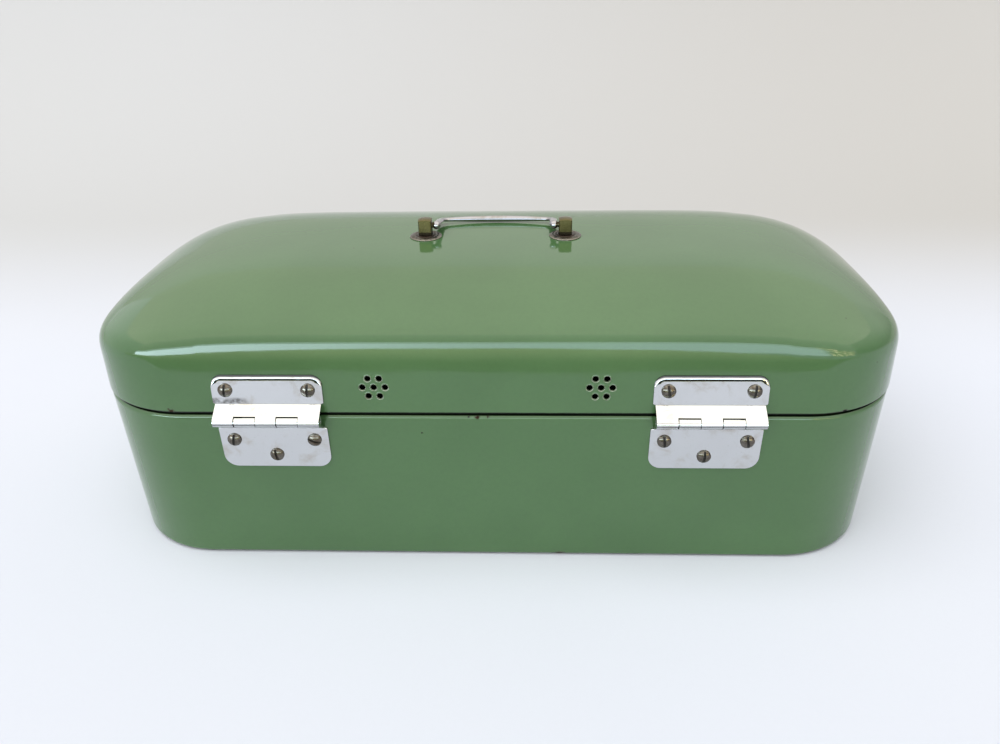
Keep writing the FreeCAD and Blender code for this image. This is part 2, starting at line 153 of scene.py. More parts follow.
def boolean(me, cutters, op="DIFFERENCE"):
    o = new_object("tmp_a", me)
    for c in cutters if isinstance(cutters, list) else [cutters]:
        k = new_object("tmp_b", c)
        m = o.modifiers.new("b", "BOOLEAN")
        m.operation, m.object, m.solver = op, k, "EXACT"
        dg = bpy.context.evaluated_depsgraph_get()
        out = bpy.data.meshes.new_from_object(o.evaluated_get(dg))
        o.modifiers.clear()
        o.data = out
        bpy.data.objects.remove(k)
    out = o.data
    bpy.data.objects.remove(o)
    return out


def clean(me, angle=0.6):
    bm = bmesh.new()
    bm.from_mesh(me)
    bmesh.ops.remove_doubles(bm, verts=bm.verts, dist=0.004 * MM)
    bmesh.ops.dissolve_limit(bm, angle_limit=math.radians(angle), verts=bm.verts, edges=bm.edges)
    bm.to_mesh(me)
    bm.free()
    return me


def joined(meshes):
    """Several closed meshes in one, as separate solids."""
    bm = bmesh.new()
    for me in meshes:
        bm.from_mesh(me)
    out = bpy.data.meshes.new("j")
    bm.to_mesh(out)
    bm.free()
    return out


def piece(name, me, node, body, mat, bevel=0.0, seg=2, angle=28, weighted=True, second=None):
    o = new_object(name, me)
    me.name = name
    index = [p.material_index if second else 0 for p in me.polygons]
    me.materials.clear()
    me.materials.append(mat)
    if second:
        me.materials.append(second)
    for p, i in zip(me.polygons, index):
        p.material_index = min(i, 1)
    for p in me.polygons:
        p.use_smooth = True
    if bevel:
        m = o.modifiers.new("edge", "BEVEL")
        m.width, m.segments, m.limit_method = bevel * MM, seg, "ANGLE"
        m.angle_limit = math.radians(angle)
        m.use_clamp_overlap = True
    if weighted:
        m = o.modifiers.new("wn", "WEIGHTED_NORMAL")
        m.mode, m.weight, m.keep_sharp = "FACE_AREA", 80, True
    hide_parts(node)
    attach(o, body)
    return o


def on_lid(x, o, v, sy=1):
    """Point drawn against the lid's wall (o outward, v up the wall), stood on the back (sy 1) or front (-1)."""
    y = o * math.cos(UP) - (v - ZR) * math.sin(UP) + B
    return (x * sy, y * sy, ZR + o * math.sin(UP) + (v - ZR) * math.cos(UP))


def on_base(x, o, v, sy=1):
    y = o * math.cos(DN) - (v - ZR) * math.sin(DN) + B - BASE_IN
    return (x * sy, y * sy, ZR + o * math.sin(DN) + (v - ZR) * math.cos(DN))


def wall_matrix(lid, sy=1):
    """Matrix from (x, o, v) in mm*MM to the frame."""
    f = on_lid if lid else on_base
    p0 = Vector(f(0, 0, 0, sy)) * MM
    c = [(Vector(f(*e, sy)) - Vector(f(0, 0, 0, sy))) for e in ((1, 0, 0), (0, 1, 0), (0, 0, 1))]
    m = Matrix((c[0], c[1], c[2])).transposed().to_4x4()
    m.translation = p0
    return m


# ------------------------------------------------------------------ node helpers
def srgb(r, g, b):
    f = lambda c: (c / 255 / 12.92) if c / 255 <= 0.04045 else ((c / 255 + 0.055) / 1.055) ** 2.4
    return (f(r), f(g), f(b), 1.0)


class Nodes:
    def __init__(self, name, world=False):
        if world:
            self.owner = bpy.data.worlds.new(name)
        else:
            self.owner = bpy.data.materials.new(name)
        self.owner.use_nodes = True
        self.t = self.owner.node_tree
        self.t.nodes.clear()

    def add(self, kind, **kw):
        n = self.t.nodes.new(kind)
        for k, v in kw.items():
            setattr(n, k, v)
        return n

    def put(self, n, key, value):
        if isinstance(value, bpy.types.NodeSocket):
            self.t.links.new(value, n.inputs[key])
        else:
            n.inputs[key].default_value = value
        return n

    def math(self, op, a, b=0.0, c=None, clamp=False):
        n = self.add("ShaderNodeMath", operation=op, use_clamp=clamp)
        self.put(n, 0, a)
        self.put(n, 1, b)
        if c is not None:
            self.put(n, 2, c)
        return n.outputs[0]

    def vmath(self, op, a, b=(0, 0, 0)):
        n = self.add("ShaderNodeVectorMath", operation=op)
        self.put(n, 0, a)
        self.put(n, 1, b)
        return n.outputs["Value"] if op in ("DISTANCE", "LENGTH", "DOT_PRODUCT") else n.outputs["Vector"]

    def noise(self, vec, scale, detail=3.0, rough=0.5, distort=0.0, out="Fac"):
        n = self.add("ShaderNodeTexNoise")
        self.put(n, "Vector", vec)
        self.put(n, "Scale", scale)
        self.put(n, "Detail", detail)
        self.put(n, "Roughness", rough)
        self.put(n, "Distortion", distort)
        return n.outputs[out]

    def ramp(self, fac, lo, hi, a=0.0, b=1.0, smooth=True):
        n = self.add("ShaderNodeMapRange", interpolation_type="SMOOTHSTEP" if smooth else "LINEAR")
        self.put(n, "Value", fac)
        self.put(n, "From Min", lo)
        self.put(n, "From Max", hi)
        self.put(n, "To Min", a)
        self.put(n, "To Max", b)
        return n.outputs[0]

    def mix(self, fac, a, b, kind="MIX"):
        n = self.add("ShaderNodeMix", data_type="RGBA", blend_type=kind)
        self.put(n, 0, fac)
        self.put(n, 6, a)
        self.put(n, 7, b)
        return n.outputs[2]

    def bump(self, height, dist, normal=None, strength=1.0):
        n = self.add("ShaderNodeBump")
        self.put(n, "Height", height)
        self.put(n, "Distance", dist)
        self.put(n, "Strength", strength)
        if normal is not None:
            self.put(n, "Normal", normal)
        return n.outputs[0]

    def scaled(self, vec, s):
        n = self.add("ShaderNodeMapping")
        self.put(n, "Vector", vec)
        self.put(n, "Scale", s)
        return n.outputs[0]

    def shader(self, **kw):
        n = self.add("ShaderNodeBsdfPrincipled")
        for k, v in kw.items():
            self.put(n, k.replace("_", " "), v)
        out = self.add("ShaderNodeOutputMaterial")
        self.t.links.new(n.outputs[0], out.inputs[0])
        return n


# ------------------------------------------------------------------ materials
def enamel():
    m = Nodes("green_enamel")
    pos = m.add("ShaderNodeTexCoord").outputs["Object"]
    xyz = m.add("ShaderNodeSeparateXYZ")
    m.put(xyz, 0, pos)
    broad = m.noise(pos, 14.0, 3, 0.5)
    fine = m.noise(pos, 420.0, 2, 0.6)
    col = m.mix(m.ramp(broad, 0.3, 0.7), (0.070, 0.156, 0.057, 1), (0.079, 0.172, 0.064, 1))
    col = m.mix(m.math("MULTIPLY", m.ramp(fine, 0.35, 0.75), 0.10), col, (0.045, 0.11, 0.042, 1))
    # pinholes and dust in the fired coat
    cell = m.add("ShaderNodeTexVoronoi")
    m.put(cell, "Vector", pos)
    m.put(cell, "Scale", 62.0)
    pin = m.ramp(cell.outputs["Distance"], 0.020, 0.036, 1.0, 0.0)
    pick = m.add("ShaderNodeSeparateColor")
    m.put(pick, 0, cell.outputs["Color"])
    pin = m.math("MULTIPLY", pin, m.math("GREATER_THAN", pick.outputs[0], 0.93))
    col = m.mix(m.math("MULTIPLY", pin, 0.65), col, (0.03, 0.05, 0.025, 1))
    # the lid's rim is darker, for a thin coat on its turned edge and as painted shade of the gap under it; a near-black
    # band of painted shade lies over the gap at the base's shoulder; the coat is thin at the foot
    wob = m.math("MULTIPLY_ADD", m.noise(pos, 95.0, 4, 0.65), 0.0009, -0.00045)
    z = m.math("ADD", xyz.outputs["Z"], wob)
    rim = m.ramp(m.math("ABSOLUTE", m.math("SUBTRACT", z, 0.09600)), 0.00035, 0.0008, 1.0, 0.0)
    foot = m.ramp(z, 0.0004, 0.0022, 1.0, 0.0)
    col = m.mix(m.math("MULTIPLY", rim, 0.62), col, (0.020, 0.028, 0.014, 1))
    # painted shade: near black over the gap between the lid's rim and the base's ledge
    seam = m.math("MULTIPLY", m.ramp(xyz.outputs["Z"], 0.0935, 0.0939), m.ramp(xyz.outputs["Z"], 0.0960, 0.0963, 1.0, 0.0))
    col = m.mix(m.math("MULTIPLY", seam, 0.96), col, (0.004, 0.005, 0.003, 1))
    col = m.mix(m.math("MULTIPLY", foot, 0.7), col, (0.055, 0.040, 0.026, 1))
    # chips that show steel and rust
    jit = m.noise(pos, 900.0, 3, 0.6, out="Color")
    jit = m.vmath("SUBTRACT", jit, (0.5, 0.5, 0.5))
    js = m.add("ShaderNodeVectorMath", operation="SCALE")
    m.put(js, 0, jit)
    js.inputs["Scale"].default_value = 0.0022
    p2 = m.vmath("ADD", pos, js.outputs[0])
    chip = None
    for x, y, zz, r, dark in CHIPS:
        d = m.vmath("DISTANCE", m.vmath("MULTIPLY", m.vmath("SUBTRACT", p2, (x, y, zz)), (0.62, 1, 1)), (0, 0, 0))
        k = m.ramp(d, r * 0.75, r, 1.0, 0.0)
        halo = m.ramp(d, r * 1.0, r * 1.7, 0.5, 0.0)
        c = (0.012, 0.010, 0.009, 1) if dark else (0.034, 0.020, 0.010, 1)
        col = m.mix(halo, col, (0.05, 0.06, 0.03, 1))
        col = m.mix(k, col, c)
        chip = k if chip is None else m.math("MAXIMUM", chip, k)
    # slow waves of the pressed sheet, the orange peel of the glaze, and the step at a chip
    n1 = m.bump(m.noise(m.scaled(pos, (0.55, 1, 1)), 17.0, 2, 0.45), 0.00042)
    n2 = m.bump(m.noise(pos, 190.0, 2, 0.5), 0.0000085, n1)
    n3 = m.bump(m.math("MULTIPLY", chip, -1.0), 0.00018, n2)
    rough = m.math("ADD", m.ramp(m.noise(pos, 55.0, 4, 0.6), 0.3, 0.8, 0.055, 0.10), m.math("MULTIPLY", chip, 0.5))
    # less reflection in the painted shade of the gap and on chips
    m.shader(Base_Color=col, Roughness=rough, IOR=1.52, Normal=n3, Specular_IOR_Level=m.math("MULTIPLY_ADD", m.math("MAXIMUM", seam, chip), -0.44, 0.5))
    return m.owner


def chrome(name, tint, lo, hi, stain, stain_col, wave=0.00003, scratch=0.0000022, worn=0.0, edge_dull_and_shade=0.0, foot_z=None):
    """Plated steel: haze, fine scratches, brown stains and a slow wave in the plate."""
    m = Nodes(name)
    pos = m.add("ShaderNodeTexCoord").outputs["Object"]
    patch = m.noise(pos, 95.0, 5, 0.62, 0.4)
    cloud = m.noise(pos, 34.0, 4, 0.55)
    speck = m.noise(pos, 1500.0, 2, 0.6)
    s = m.math("MULTIPLY", m.ramp(patch, 0.50, 0.74), stain)
    col = m.mix(s, tint, stain_col)
    col = m.mix(m.math("MULTIPLY", m.ramp(speck, 0.66, 0.74), 0.35 + worn), col, tuple(c * 0.35 for c in stain_col[:3]) + (1,))
    col = m.mix(m.math("MULTIPLY", m.ramp(cloud, 0.42, 0.75), 0.22), col, tuple(c * 0.80 for c in tint[:3]) + (1,))
    line = m.noise(m.scaled(pos, (35.0, 300.0, 1900.0)), 1.0, 2, 0.7)
    line2 = m.noise(m.scaled(pos, (1700.0, 300.0, 60.0)), 1.0, 2, 0.7)
    geo = m.add("ShaderNodeSeparateXYZ")
    m.put(geo, 0, m.add("ShaderNodeNewGeometry").outputs["Normal"])
    if edge_dull_and_shade:
        # the upper edge's upward-facing faces are a duller grey-blue, partly a dull sheared edge and partly painted
        # shade; painted shade lies in the foot of the rolled border and a painted dark reflection along the curl
        at = m.add("ShaderNodeSeparateXYZ")
        m.put(at, 0, pos)
        up = m.math("ADD", geo.outputs["Z"], m.math("MULTIPLY_ADD", m.noise(pos, 260.0, 3, 0.6), 0.06, -0.03))
        high = m.ramp(at.outputs["Z"], 0.1118, 0.1126)
        edge = m.math("MULTIPLY", m.ramp(up, 0.47, 0.56), high)
        # painted shade with a dull edge: upward-facing faces of the upper edge made grey-blue
        col = m.mix(m.math("MULTIPLY", edge, edge_dull_and_shade), col, (0.052, 0.057, 0.068, 1))
        # painted shade: a near-black line at the foot of the rolled border, picked by the slope of the face
        foot = m.math("MULTIPLY", m.math("MULTIPLY", m.ramp(up, 0.125, 0.155), m.ramp(up, 0.27, 0.33, 1.0, 0.0)), high)
        # painted reflection: a near-black line along the curl where it faces a little downward, standing for the
        # reflected shade of the gap
        curl = m.math("MULTIPLY", m.ramp(m.math("ABSOLUTE", m.math("ADD", up, 0.17)), 0.05, 0.09, 1.0, 0.0),
                      m.math("MULTIPLY", m.ramp(at.outputs["Z"], 0.0905, 0.0915), m.ramp(m.math("ABSOLUTE", at.outputs["Y"]), 0.1100, 0.1110)))
        col = m.mix(m.math("MULTIPLY", m.math("MAXIMUM", foot, curl), 0.985), col, (0.004, 0.004, 0.004, 1))
        # painted shade: a dark blotch low on the flat of the right hinge's leaf, standing for a reflected shadow
        shadow_blotch = m.math("MULTIPLY", m.ramp(at.outputs["X"], 0.1215, 0.1300), m.ramp(at.outputs["Z"], 0.1036, 0.1062, 1.0, 0.0))
        shadow_blotch = m.math("MULTIPLY", shadow_blotch, m.ramp(m.math("ABSOLUTE", m.math("SUBTRACT", at.outputs["Z"], 0.1037)), 0.0012, 0.0021, 1.0, 0.0))
        shadow_blotch = m.math("MULTIPLY", shadow_blotch, m.ramp(m.noise(pos, 300.0, 4, 0.6), 0.28, 0.66))
        col = m.mix(m.math("MULTIPLY", shadow_blotch, 0.95), col, (0.085, 0.080, 0.070, 1))
    if foot_z:
        # old dirt packed round the foot of the post
        at = m.add("ShaderNodeSeparateXYZ")
        m.put(at, 0, pos)
        low = m.math("ADD", at.outputs["Z"], m.math("MULTIPLY", m.noise(pos, 700.0, 3, 0.6), 0.0008))
        col = m.mix(m.math("MULTIPLY", m.ramp(low, foot_z - 0.0003, foot_z + 0.0002, 1.0, 0.0), 0.93), col, (0.030, 0.021, 0.015, 1))
    rough = m.ramp(m.math("ADD", m.math("MULTIPLY", cloud, 0.7), m.math("MULTIPLY", patch, 0.3)), 0.32, 0.68, lo, hi)
    n1 = m.bump(m.noise(pos, 62.0, 2, 0.4), wave)
    n2 = m.bump(m.math("ADD", line, line2), scratch, n1)
    m.shader(Base_Color=col, Metallic=1.0, Roughness=rough, Normal=n2)
    return m.owner


def oxidised(name, base, light, rust, rough_lo, rough_hi, metallic=0.85, grain=0.00005, ring=None):
    """Bare steel gone dark, with rubbed high spots and rust in patches."""
    m = Nodes(name)
    pos = m.add("ShaderNodeTexCoord").outputs["Object"]
    a = m.noise(pos, 520.0, 5, 0.65)
    b = m.noise(pos, 170.0, 4, 0.6, 0.3)
    c = m.noise(pos, 1700.0, 3, 0.6)
    col = m.mix(m.ramp(a, 0.38, 0.66), base, light)
    col = m.mix(m.math("MULTIPLY", m.ramp(b, 0.50, 0.70), 0.65), col, rust)
    col = m.mix(m.math("MULTIPLY", m.ramp(c, 0.60, 0.72), 0.5), col, tuple(x * 0.4 for x in base[:3]) + (1,))
    if ring:
        # painted near black inside the raised ring of a washer, its outer lip rubbed lighter
        at = m.add("ShaderNodeSeparateXYZ")
        m.put(at, 0, pos)
        dx = m.math("SUBTRACT", m.math("ABSOLUTE", at.outputs["X"]), ring[0])
        r = m.math("SQRT", m.math("ADD", m.math("MULTIPLY", dx, dx), m.math("MULTIPLY", at.outputs["Y"], at.outputs["Y"])))
        r = m.math("ADD", r, m.math("MULTIPLY_ADD", a, 0.0008, -0.0004))
        col = m.mix(m.math("MULTIPLY", m.ramp(r, ring[1] - 0.0002, ring[1] + 0.0004, 1.0, 0.0), 0.88), col, (0.022, 0.013, 0.010, 1))
        col = m.mix(m.math("MULTIPLY", m.ramp(r, 0.0087, 0.0092), 0.5), col, (0.27, 0.25, 0.22, 1))
    rough = m.ramp(m.math("ADD", m.math("MULTIPLY", a, 0.5), m.math("MULTIPLY", b, 0.5)), 0.35, 0.65, rough_lo, rough_hi)
    n1 = m.bump(a, grain)
    n2 = m.bump(c, grain * 0.25, n1)
    m.shader(Base_Color=col, Metallic=metallic, Roughness=rough, Normal=n2)
    return m.owner


CHIPS = [
    (0.1659, 0.1028, 0.0963, 0.00105, False),
    (0.1672, 0.1028, 0.0976, 0.00045, False),
    (-0.1801, 0.1000, 0.0962, 0.0009, True),
    (0.0066, 0.1020, 0.0930, 0.0008, False),
    (0.0010, 0.1020, 0.0933, 0.0005, False),
    (0.0112, 0.1020, 0.0933, 0.0004, True),
    (0.0358, 0.1022, 0.0834, 0.00035, True),
    (-0.0377, 0.1008, 0.0012, 0.0016, False),
    (-0.1205, -0.1010, 0.0006, 0.0019, False),
    (0.2170, 0.0120, 0.0961, 0.0008, False),
    (-0.2178, -0.0310, 0.0968, 0.0007, True),
    (0.1190, -0.0100, 0.1543, 0.0004, True),
]

def lip():
    """Thin, rubbed enamel on the turned edge of a vent hole, grey where the steel shows, and pale as a painted
    highlight on the lip.
    """
    m = Nodes("vent_lip_enamel")
    pos = m.add("ShaderNodeTexCoord").outputs["Object"]
    a = m.noise(pos, 650.0, 3, 0.6)
    # painted highlight: the lip is paler grey-green than the enamel
    col = m.mix(m.ramp(a, 0.35, 0.62), (0.10, 0.155, 0.085, 1), (0.22, 0.26, 0.19, 1))
    col = m.mix(m.math("MULTIPLY", m.ramp(m.noise(pos, 300.0, 3, 0.6), 0.55, 0.7), 0.7), col, (0.07, 0.06, 0.04, 1))
    m.shader(Base_Color=col, Metallic=0.25, Roughness=m.ramp(a, 0.3, 0.7, 0.18, 0.4), Normal=m.bump(a, 0.00004))
    return m.owner


MAT_ENAMEL = enamel()
MAT_LIP = lip()
MAT_HINGE = chrome("hinge_chrome", (0.600, 0.612, 0.625, 1), 0.03, 0.10, 0.50, (0.40, 0.345, 0.28, 1), edge_dull_and_shade=0.985)
MAT_HANDLE = chrome("handle_chrome", (0.33, 0.322, 0.355, 1), 0.06, 0.17, 0.55, (0.20, 0.18, 0.13, 1), wave=0.00002)
MAT_POST = chrome("handle_post_plate", (0.118, 0.098, 0.042, 1), 0.14, 0.32, 0.75, (0.066, 0.047, 0.021, 1), wave=0.00002, worn=0.25, foot_z=0.1597)
MAT_LATCH = chrome("latch_chrome", (0.64, 0.65, 0.665, 1), 0.04, 0.13, 0.40, (0.42, 0.36, 0.29, 1))
MAT_SCREW = oxidised("screw_steel", (0.095, 0.082, 0.068, 1), (0.170, 0.155, 0.136, 1), (0.12, 0.080, 0.052, 1), 0.10, 0.26, metallic=0.95, grain=0.000012)
MAT_SLOT = oxidised("screw_slot_grime", (0.012, 0.010, 0.009, 1), (0.030, 0.025, 0.020, 1), (0.03, 0.018, 0.010, 1), 0.55, 0.8, metallic=0.1)
MAT_NUT = oxidised("nut_steel", (0.20, 0.19, 0.17, 1), (0.42, 0.41, 0.38, 1), (0.16, 0.10, 0.06, 1), 0.28, 0.5)
MAT_WASHER = oxidised("washer_steel", (0.050, 0.044, 0.038, 1), (0.128, 0.118, 0.104, 1), (0.060, 0.042, 0.030, 1), 0.20, 0.40, grain=0.00002, ring=(0.0411, 0.0059))
MAT_PIN = oxidised("pin_steel", (0.30, 0.29, 0.27, 1), (0.55, 0.54, 0.52, 1), (0.20, 0.13, 0.08, 1), 0.18, 0.35)


# ------------------------------------------------------------------ enamelled shells
FIX = [float(x) for x in range(150, -151, -3)]
NC = 22


def stations():
    """Columns round the plan, counterclockwise from the +X side: (kind, value)."""
    s = []
    for i in range(1, 16):
        s.append(("side", 1, -1 + 2 * i / 16))
    for i in range(NC + 1):
        s.append(("arc", (1, 1), i / NC * math.pi / 2))
    s += [("long", 1, x) for x in FIX]
    for i in range(NC + 1):
        s.append(("arc", (-1, 1), math.pi / 2 + i / NC * math.pi / 2))
    for i in range(1, 16):
        s.append(("side", -1, 1 - 2 * i / 16))
    for i in range(NC + 1):
        s.append(("arc", (-1, -1), math.pi + i / NC * math.pi / 2))
    s += [("long", -1, -x) for x in FIX]
    for i in range(NC + 1):
        s.append(("arc", (1, -1), 1.5 * math.pi + i / NC * math.pi / 2))
    return s


ST = stations()
NS = len(ST)
COL = {(st[1], st[2]): i for i, st in enumerate(ST) if st[0] == "long"}


def plan(st, hx, hy, r):
    """Point and outward normal of a column on a rounded rectangle."""
    kind = st[0]
    if kind == "side":
        return np.array([st[1] * hx, st[2] * (hy - r)]), np.array([float(st[1]), 0.0])
    if kind == "long":
        return np.array([st[2], st[1] * hy]), np.array([0.0, float(st[1])])
    c, s = math.cos(st[2]), math.sin(st[2])
    return np.array([st[1][0] * (hx - r) + r * c, st[1][1] * (hy - r) + r * s]), np.array([c, s])


def medial(p):
    return np.array([max(-(A - B), min(A - B, p[0])), 0.0])


def crown(x, y):
    return 155.8 - 27.5 * abs(x / 220.0) ** 7.6 - 19.8 * abs(y / 102.9) ** 3.0


def crown_normal(x, y):
    gx = (crown(x + 0.05, y) - crown(x - 0.05, y)) / 0.1
    gy = (crown(x, y + 0.05) - crown(x, y - 0.05)) / 0.1
    n = np.array([-gx, -gy, 1.0])
    return n / np.linalg.norm(n)


Z_SWELL, SWELL = 120.4, 0.0098      # the wall begins to swell inward here


def lid_wall(st, z):
    h = LEAN_LID * (z - ZR)
    r = RR - 15.0 * (z - ZR) / 73.94 - h
    p, n = plan(st, A - h, B - h, r)
    if z > Z_SWELL:
        p = p - n * 0.5 * SWELL * (z - Z_SWELL) ** 2
    return p, n


def lid_section(st, rf=13.8, sig=1.8, send=44.0):
    """Smoothed outline (inset s, height z) of one column, from below the rim to the crown, and its outward normals."""
    p0, n = lid_wall(st, ZR)
    sw = lambda z: -(lid_wall(st, z)[0] - p0) @ n
    za = 131.0
    for _ in range(10):
        sa, pa = sw(za), lid_wall(st, za)[0]
        m = (sw(za + 0.05) - sw(za - 0.05)) / 0.1
        C = lambda s: crown(*(pa - n * (s - sa)))
        def f(t):
            c = (C(t + 0.05) - C(t - 0.05)) / 0.1
            q = math.sqrt(1 + c * c)
            sc, zc = t + rf * c / q, C(t) - rf / q
            return ((sc - sa) - m * (zc - za)) / math.sqrt(1 + m * m) - rf, sc, zc, c
        lo, hi = sa, sa + 60
        for _ in range(40):
            mid = (lo + hi) / 2
            if f(mid)[0] < 0:
                lo = mid
            else:
                hi = mid
        _, sc, zc, c = f(lo)
        q = math.sqrt(1 + m * m)
        za = 0.4 * za + 0.6 * (zc + rf * m / q)
    z1 = zc + rf * m / q
    th0 = math.atan2(m / q, -1 / q) % (2 * math.pi)
    th1 = math.atan2(1, -c)
    pts = [(sw(z), z) for z in np.arange(86.0, z1, 0.5)]
    pts += [(sc + rf * math.cos(t), zc + rf * math.sin(t)) for t in np.linspace(th0, th1, 90)]
    pts += [(s, C(s)) for s in np.arange(lo + 0.5, send + 12, 0.5)]
    pts = np.array(pts)
    d = np.r_[0, np.cumsum(np.hypot(*np.diff(pts, axis=0).T))]
    u = np.arange(0, d[-1], 0.2)
    P = np.c_[np.interp(u, d, pts[:, 0]), np.interp(u, d, pts[:, 1])]
    k = int(4 * sig / 0.2)
    w = np.exp(-0.5 * (np.arange(-k, k + 1) * 0.2 / sig) ** 2)
    w /= w.sum()
    Q = np.c_[np.convolve(P[:, 0], w, "valid"), np.convolve(P[:, 1], w, "valid")]
    D = np.gradient(Q, axis=0)
    D /= np.linalg.norm(D, axis=1)[:, None]
    return Q, D, z1, p0, n


Z_ROWS = [96.55, 96.95, 98.6, 100.8, 102.6, 104.6, 107.0, 110.0, 113.0, 115.6, 118.2]
Z_LIP = 97.2
N_SH, N_CR, N_MED = 46, 9, 12


def lid_rows():
    """Outer grid of the lid, rim upward: arrays of points and normals, [row][column]."""
    cols, nrm = [], []
    for st in ST:
        Q, D, z1, p0, n = lid_section(st)
        L = np.r_[0, np.cumsum(np.hypot(*np.diff(Q, axis=0).T))]
        zz = Q[:, 1]
        l0 = np.interp(Z_ROWS[-1], zz[: np.argmax(zz > 140) or None], L[: np.argmax(zz > 140) or None])
        wall_l = [np.interp(z, zz[: np.argmax(zz > 130)], L[: np.argmax(zz > 130)]) for z in Z_ROWS]
        # end of the bend: where the outline has come 30 mm in from the wall
        i_s = np.searchsorted(Q[:, 0], 30.0)
        l_sh = L[i_s]
        l_end = np.interp(36.0, Q[:, 0], L)
        l_all = wall_l + list(np.linspace(l0, l_sh, N_SH + 1)[1:]) + list(np.linspace(l_sh, l_end, N_CR + 1)[1:])
        pts, ns = [], []
        for l in l_all:
            s, z = np.interp(l, L, Q[:, 0]), np.interp(l, L, Q[:, 1])
            ds, dz = np.interp(l, L, D[:, 0]), np.interp(l, L, D[:, 1])
            zc = min(z, z1)
            pw, _ = lid_wall(st, zc)
            s_w = -(pw - p0) @ n
            xy = pw - n * (s - s_w)
            pts.append((xy[0], xy[1], z))
            v = np.array([n[0] * dz, n[1] * dz, ds])
            ns.append(v / np.linalg.norm(v))
        x0, y0 = pts[-1][0], pts[-1][1]
        m = medial((x0, y0))
        for k in range(1, N_MED + 1):
            t = k / N_MED
            x, y = x0 + (m[0] - x0) * t, y0 + (m[1] - y0) * t
            pts.append((x, y, crown(x, y)))
            ns.append(crown_normal(x, y))
        cols.append(pts)
        nrm.append(ns)
    return np.array(cols).transpose(1, 0, 2), np.array(nrm).transpose(1, 0, 2)


class Skin:
    """Collects points and faces of a shell whose outer and inner grids are closed round the rim."""
    def __init__(self):
        self.v, self.f = [], []

    def row(self, pts):
        i = len(self.v)
        self.v += [tuple(p) for p in pts]
        return list(range(i, i + len(pts)))

    def join(self, a, b, skip=()):
        n = len(a)
        for i in range(n):
            if i in skip:
                continue
            j = (i + 1) % n
            self.f.append([a[i], a[j], b[j], b[i]])


def hole_rings(kind):
    """(radius, outward offset) from the flat outside to the flat inside of a pierced wall."""
    if kind == "vent":
        return [(2.62, 0.0), (2.38, 0.0), (2.22, 0.05), (2.05, 0.09), (1.86, 0.07), (1.70, -0.03), (1.58, -0.18),
                (1.52, -0.36), (1.50, -0.6), (1.50, -0.85), (1.56, -1.02), (1.70, -1.14), (1.95, -1.2), (2.4, -1.2)]
    r = kind
    return [(r + 0.55, 0.0), (r + 0.25, 0.0), (r + 0.08, -0.06), (r, -0.2), (r, -1.0), (r + 0.08, -1.14),
            (r + 0.25, -1.2), (r + 0.55, -1.2)]


def add_patch(skin, outer, inner, rows, cols, sy, holes, lid, put):
    """Fills the block rows x cols of both skins with a flat patch pierced by holes: (x, v, kind)."""
    j0, j1 = rows
    loop = [(j0, c) for c in cols] + [(j, cols[-1]) for j in range(j0 + 1, j1)] + \
           [(j1, c) for c in reversed(cols)] + [(j, cols[0]) for j in range(j1 - 1, j0, -1)]
    f = on_lid if lid else on_base
    zero = np.array(f(0, 0, 0, sy))
    ex = np.array(f(1, 0, 0, sy)) - zero
    ev = np.array(f(0, 0, 1, sy)) - zero
    seg = 32
    for side, grid in ((0, outer), (1, inner)):
        flat, ids = [], []
        for j, c in loop:
            i = grid[j][c]
            p = np.array(skin.v[i]) - zero
            flat.append((p @ ex, p @ ev))
            ids.append(i)
        edges = [(k, (k + 1) % len(loop)) for k in range(len(loop))]
        for hx, hv, kind in holes:
            prof = hole_rings(kind)
            r, o = prof[0] if side == 0 else prof[-1]
            k0 = len(flat)
            for k in range(seg):
                a = 2 * math.pi * k / seg
                flat.append((hx + r * math.cos(a), hv + r * math.sin(a)))
            edges += [(k0 + k, k0 + (k + 1) % seg) for k in range(seg)]
        vs, es, fs, ov, oe, of_ = delaunay_2d_cdt([Vector(p) for p in flat], edges, [], 0, 1e-6)
        hole_ids = []
        for hx, hv, kind in holes:
            prof = hole_rings(kind)
            r, o = prof[0] if side == 0 else prof[-1]
            hole_ids.append([])
            for k in range(seg):
                a = 2 * math.pi * k / seg
                skin.v.append(f(hx + r * math.cos(a), o, hv + r * math.sin(a), sy))
                hole_ids[-1].append(len(skin.v) - 1)
        allid = ids + [i for h in hole_ids for i in h]
        back = [allid[min(o)] if o else None for o in ov]
        for tri in fs:
            cx = sum(vs[i][0] for i in tri) / 3
            cv = sum(vs[i][1] for i in tri) / 3
            if any(math.hypot(cx - hx, cv - hv) < (hole_rings(k)[0 if side == 0 else -1][0]) * 0.985 for hx, hv, k in holes):
                continue
            skin.f.append([back[i] for i in tri])
        put.append(hole_ids)
    outs, ins = put[-2], put[-1]
    for (hx, hv, kind), a, b in zip(holes, outs, ins):
        prev = a
        prof = hole_rings(kind)
        for r, o in prof[1:-1]:
            ring = []
            for k in range(seg):
                t = 2 * math.pi * k / seg
                skin.v.append(f(hx + r * math.cos(t), o, hv + r * math.sin(t), sy))
                ring.append(len(skin.v) - 1)
            skin.join(prev, ring)
            prev = ring
        skin.join(prev, b)


def block(sy, xa, xb):
    """Columns on a long side from x = xa to xb, in column order."""
    xs = [x for x in FIX if min(xa, xb) - 0.1 <= x <= max(xa, xb) + 0.1]
    return sorted(COL[(sy, x)] for x in xs)


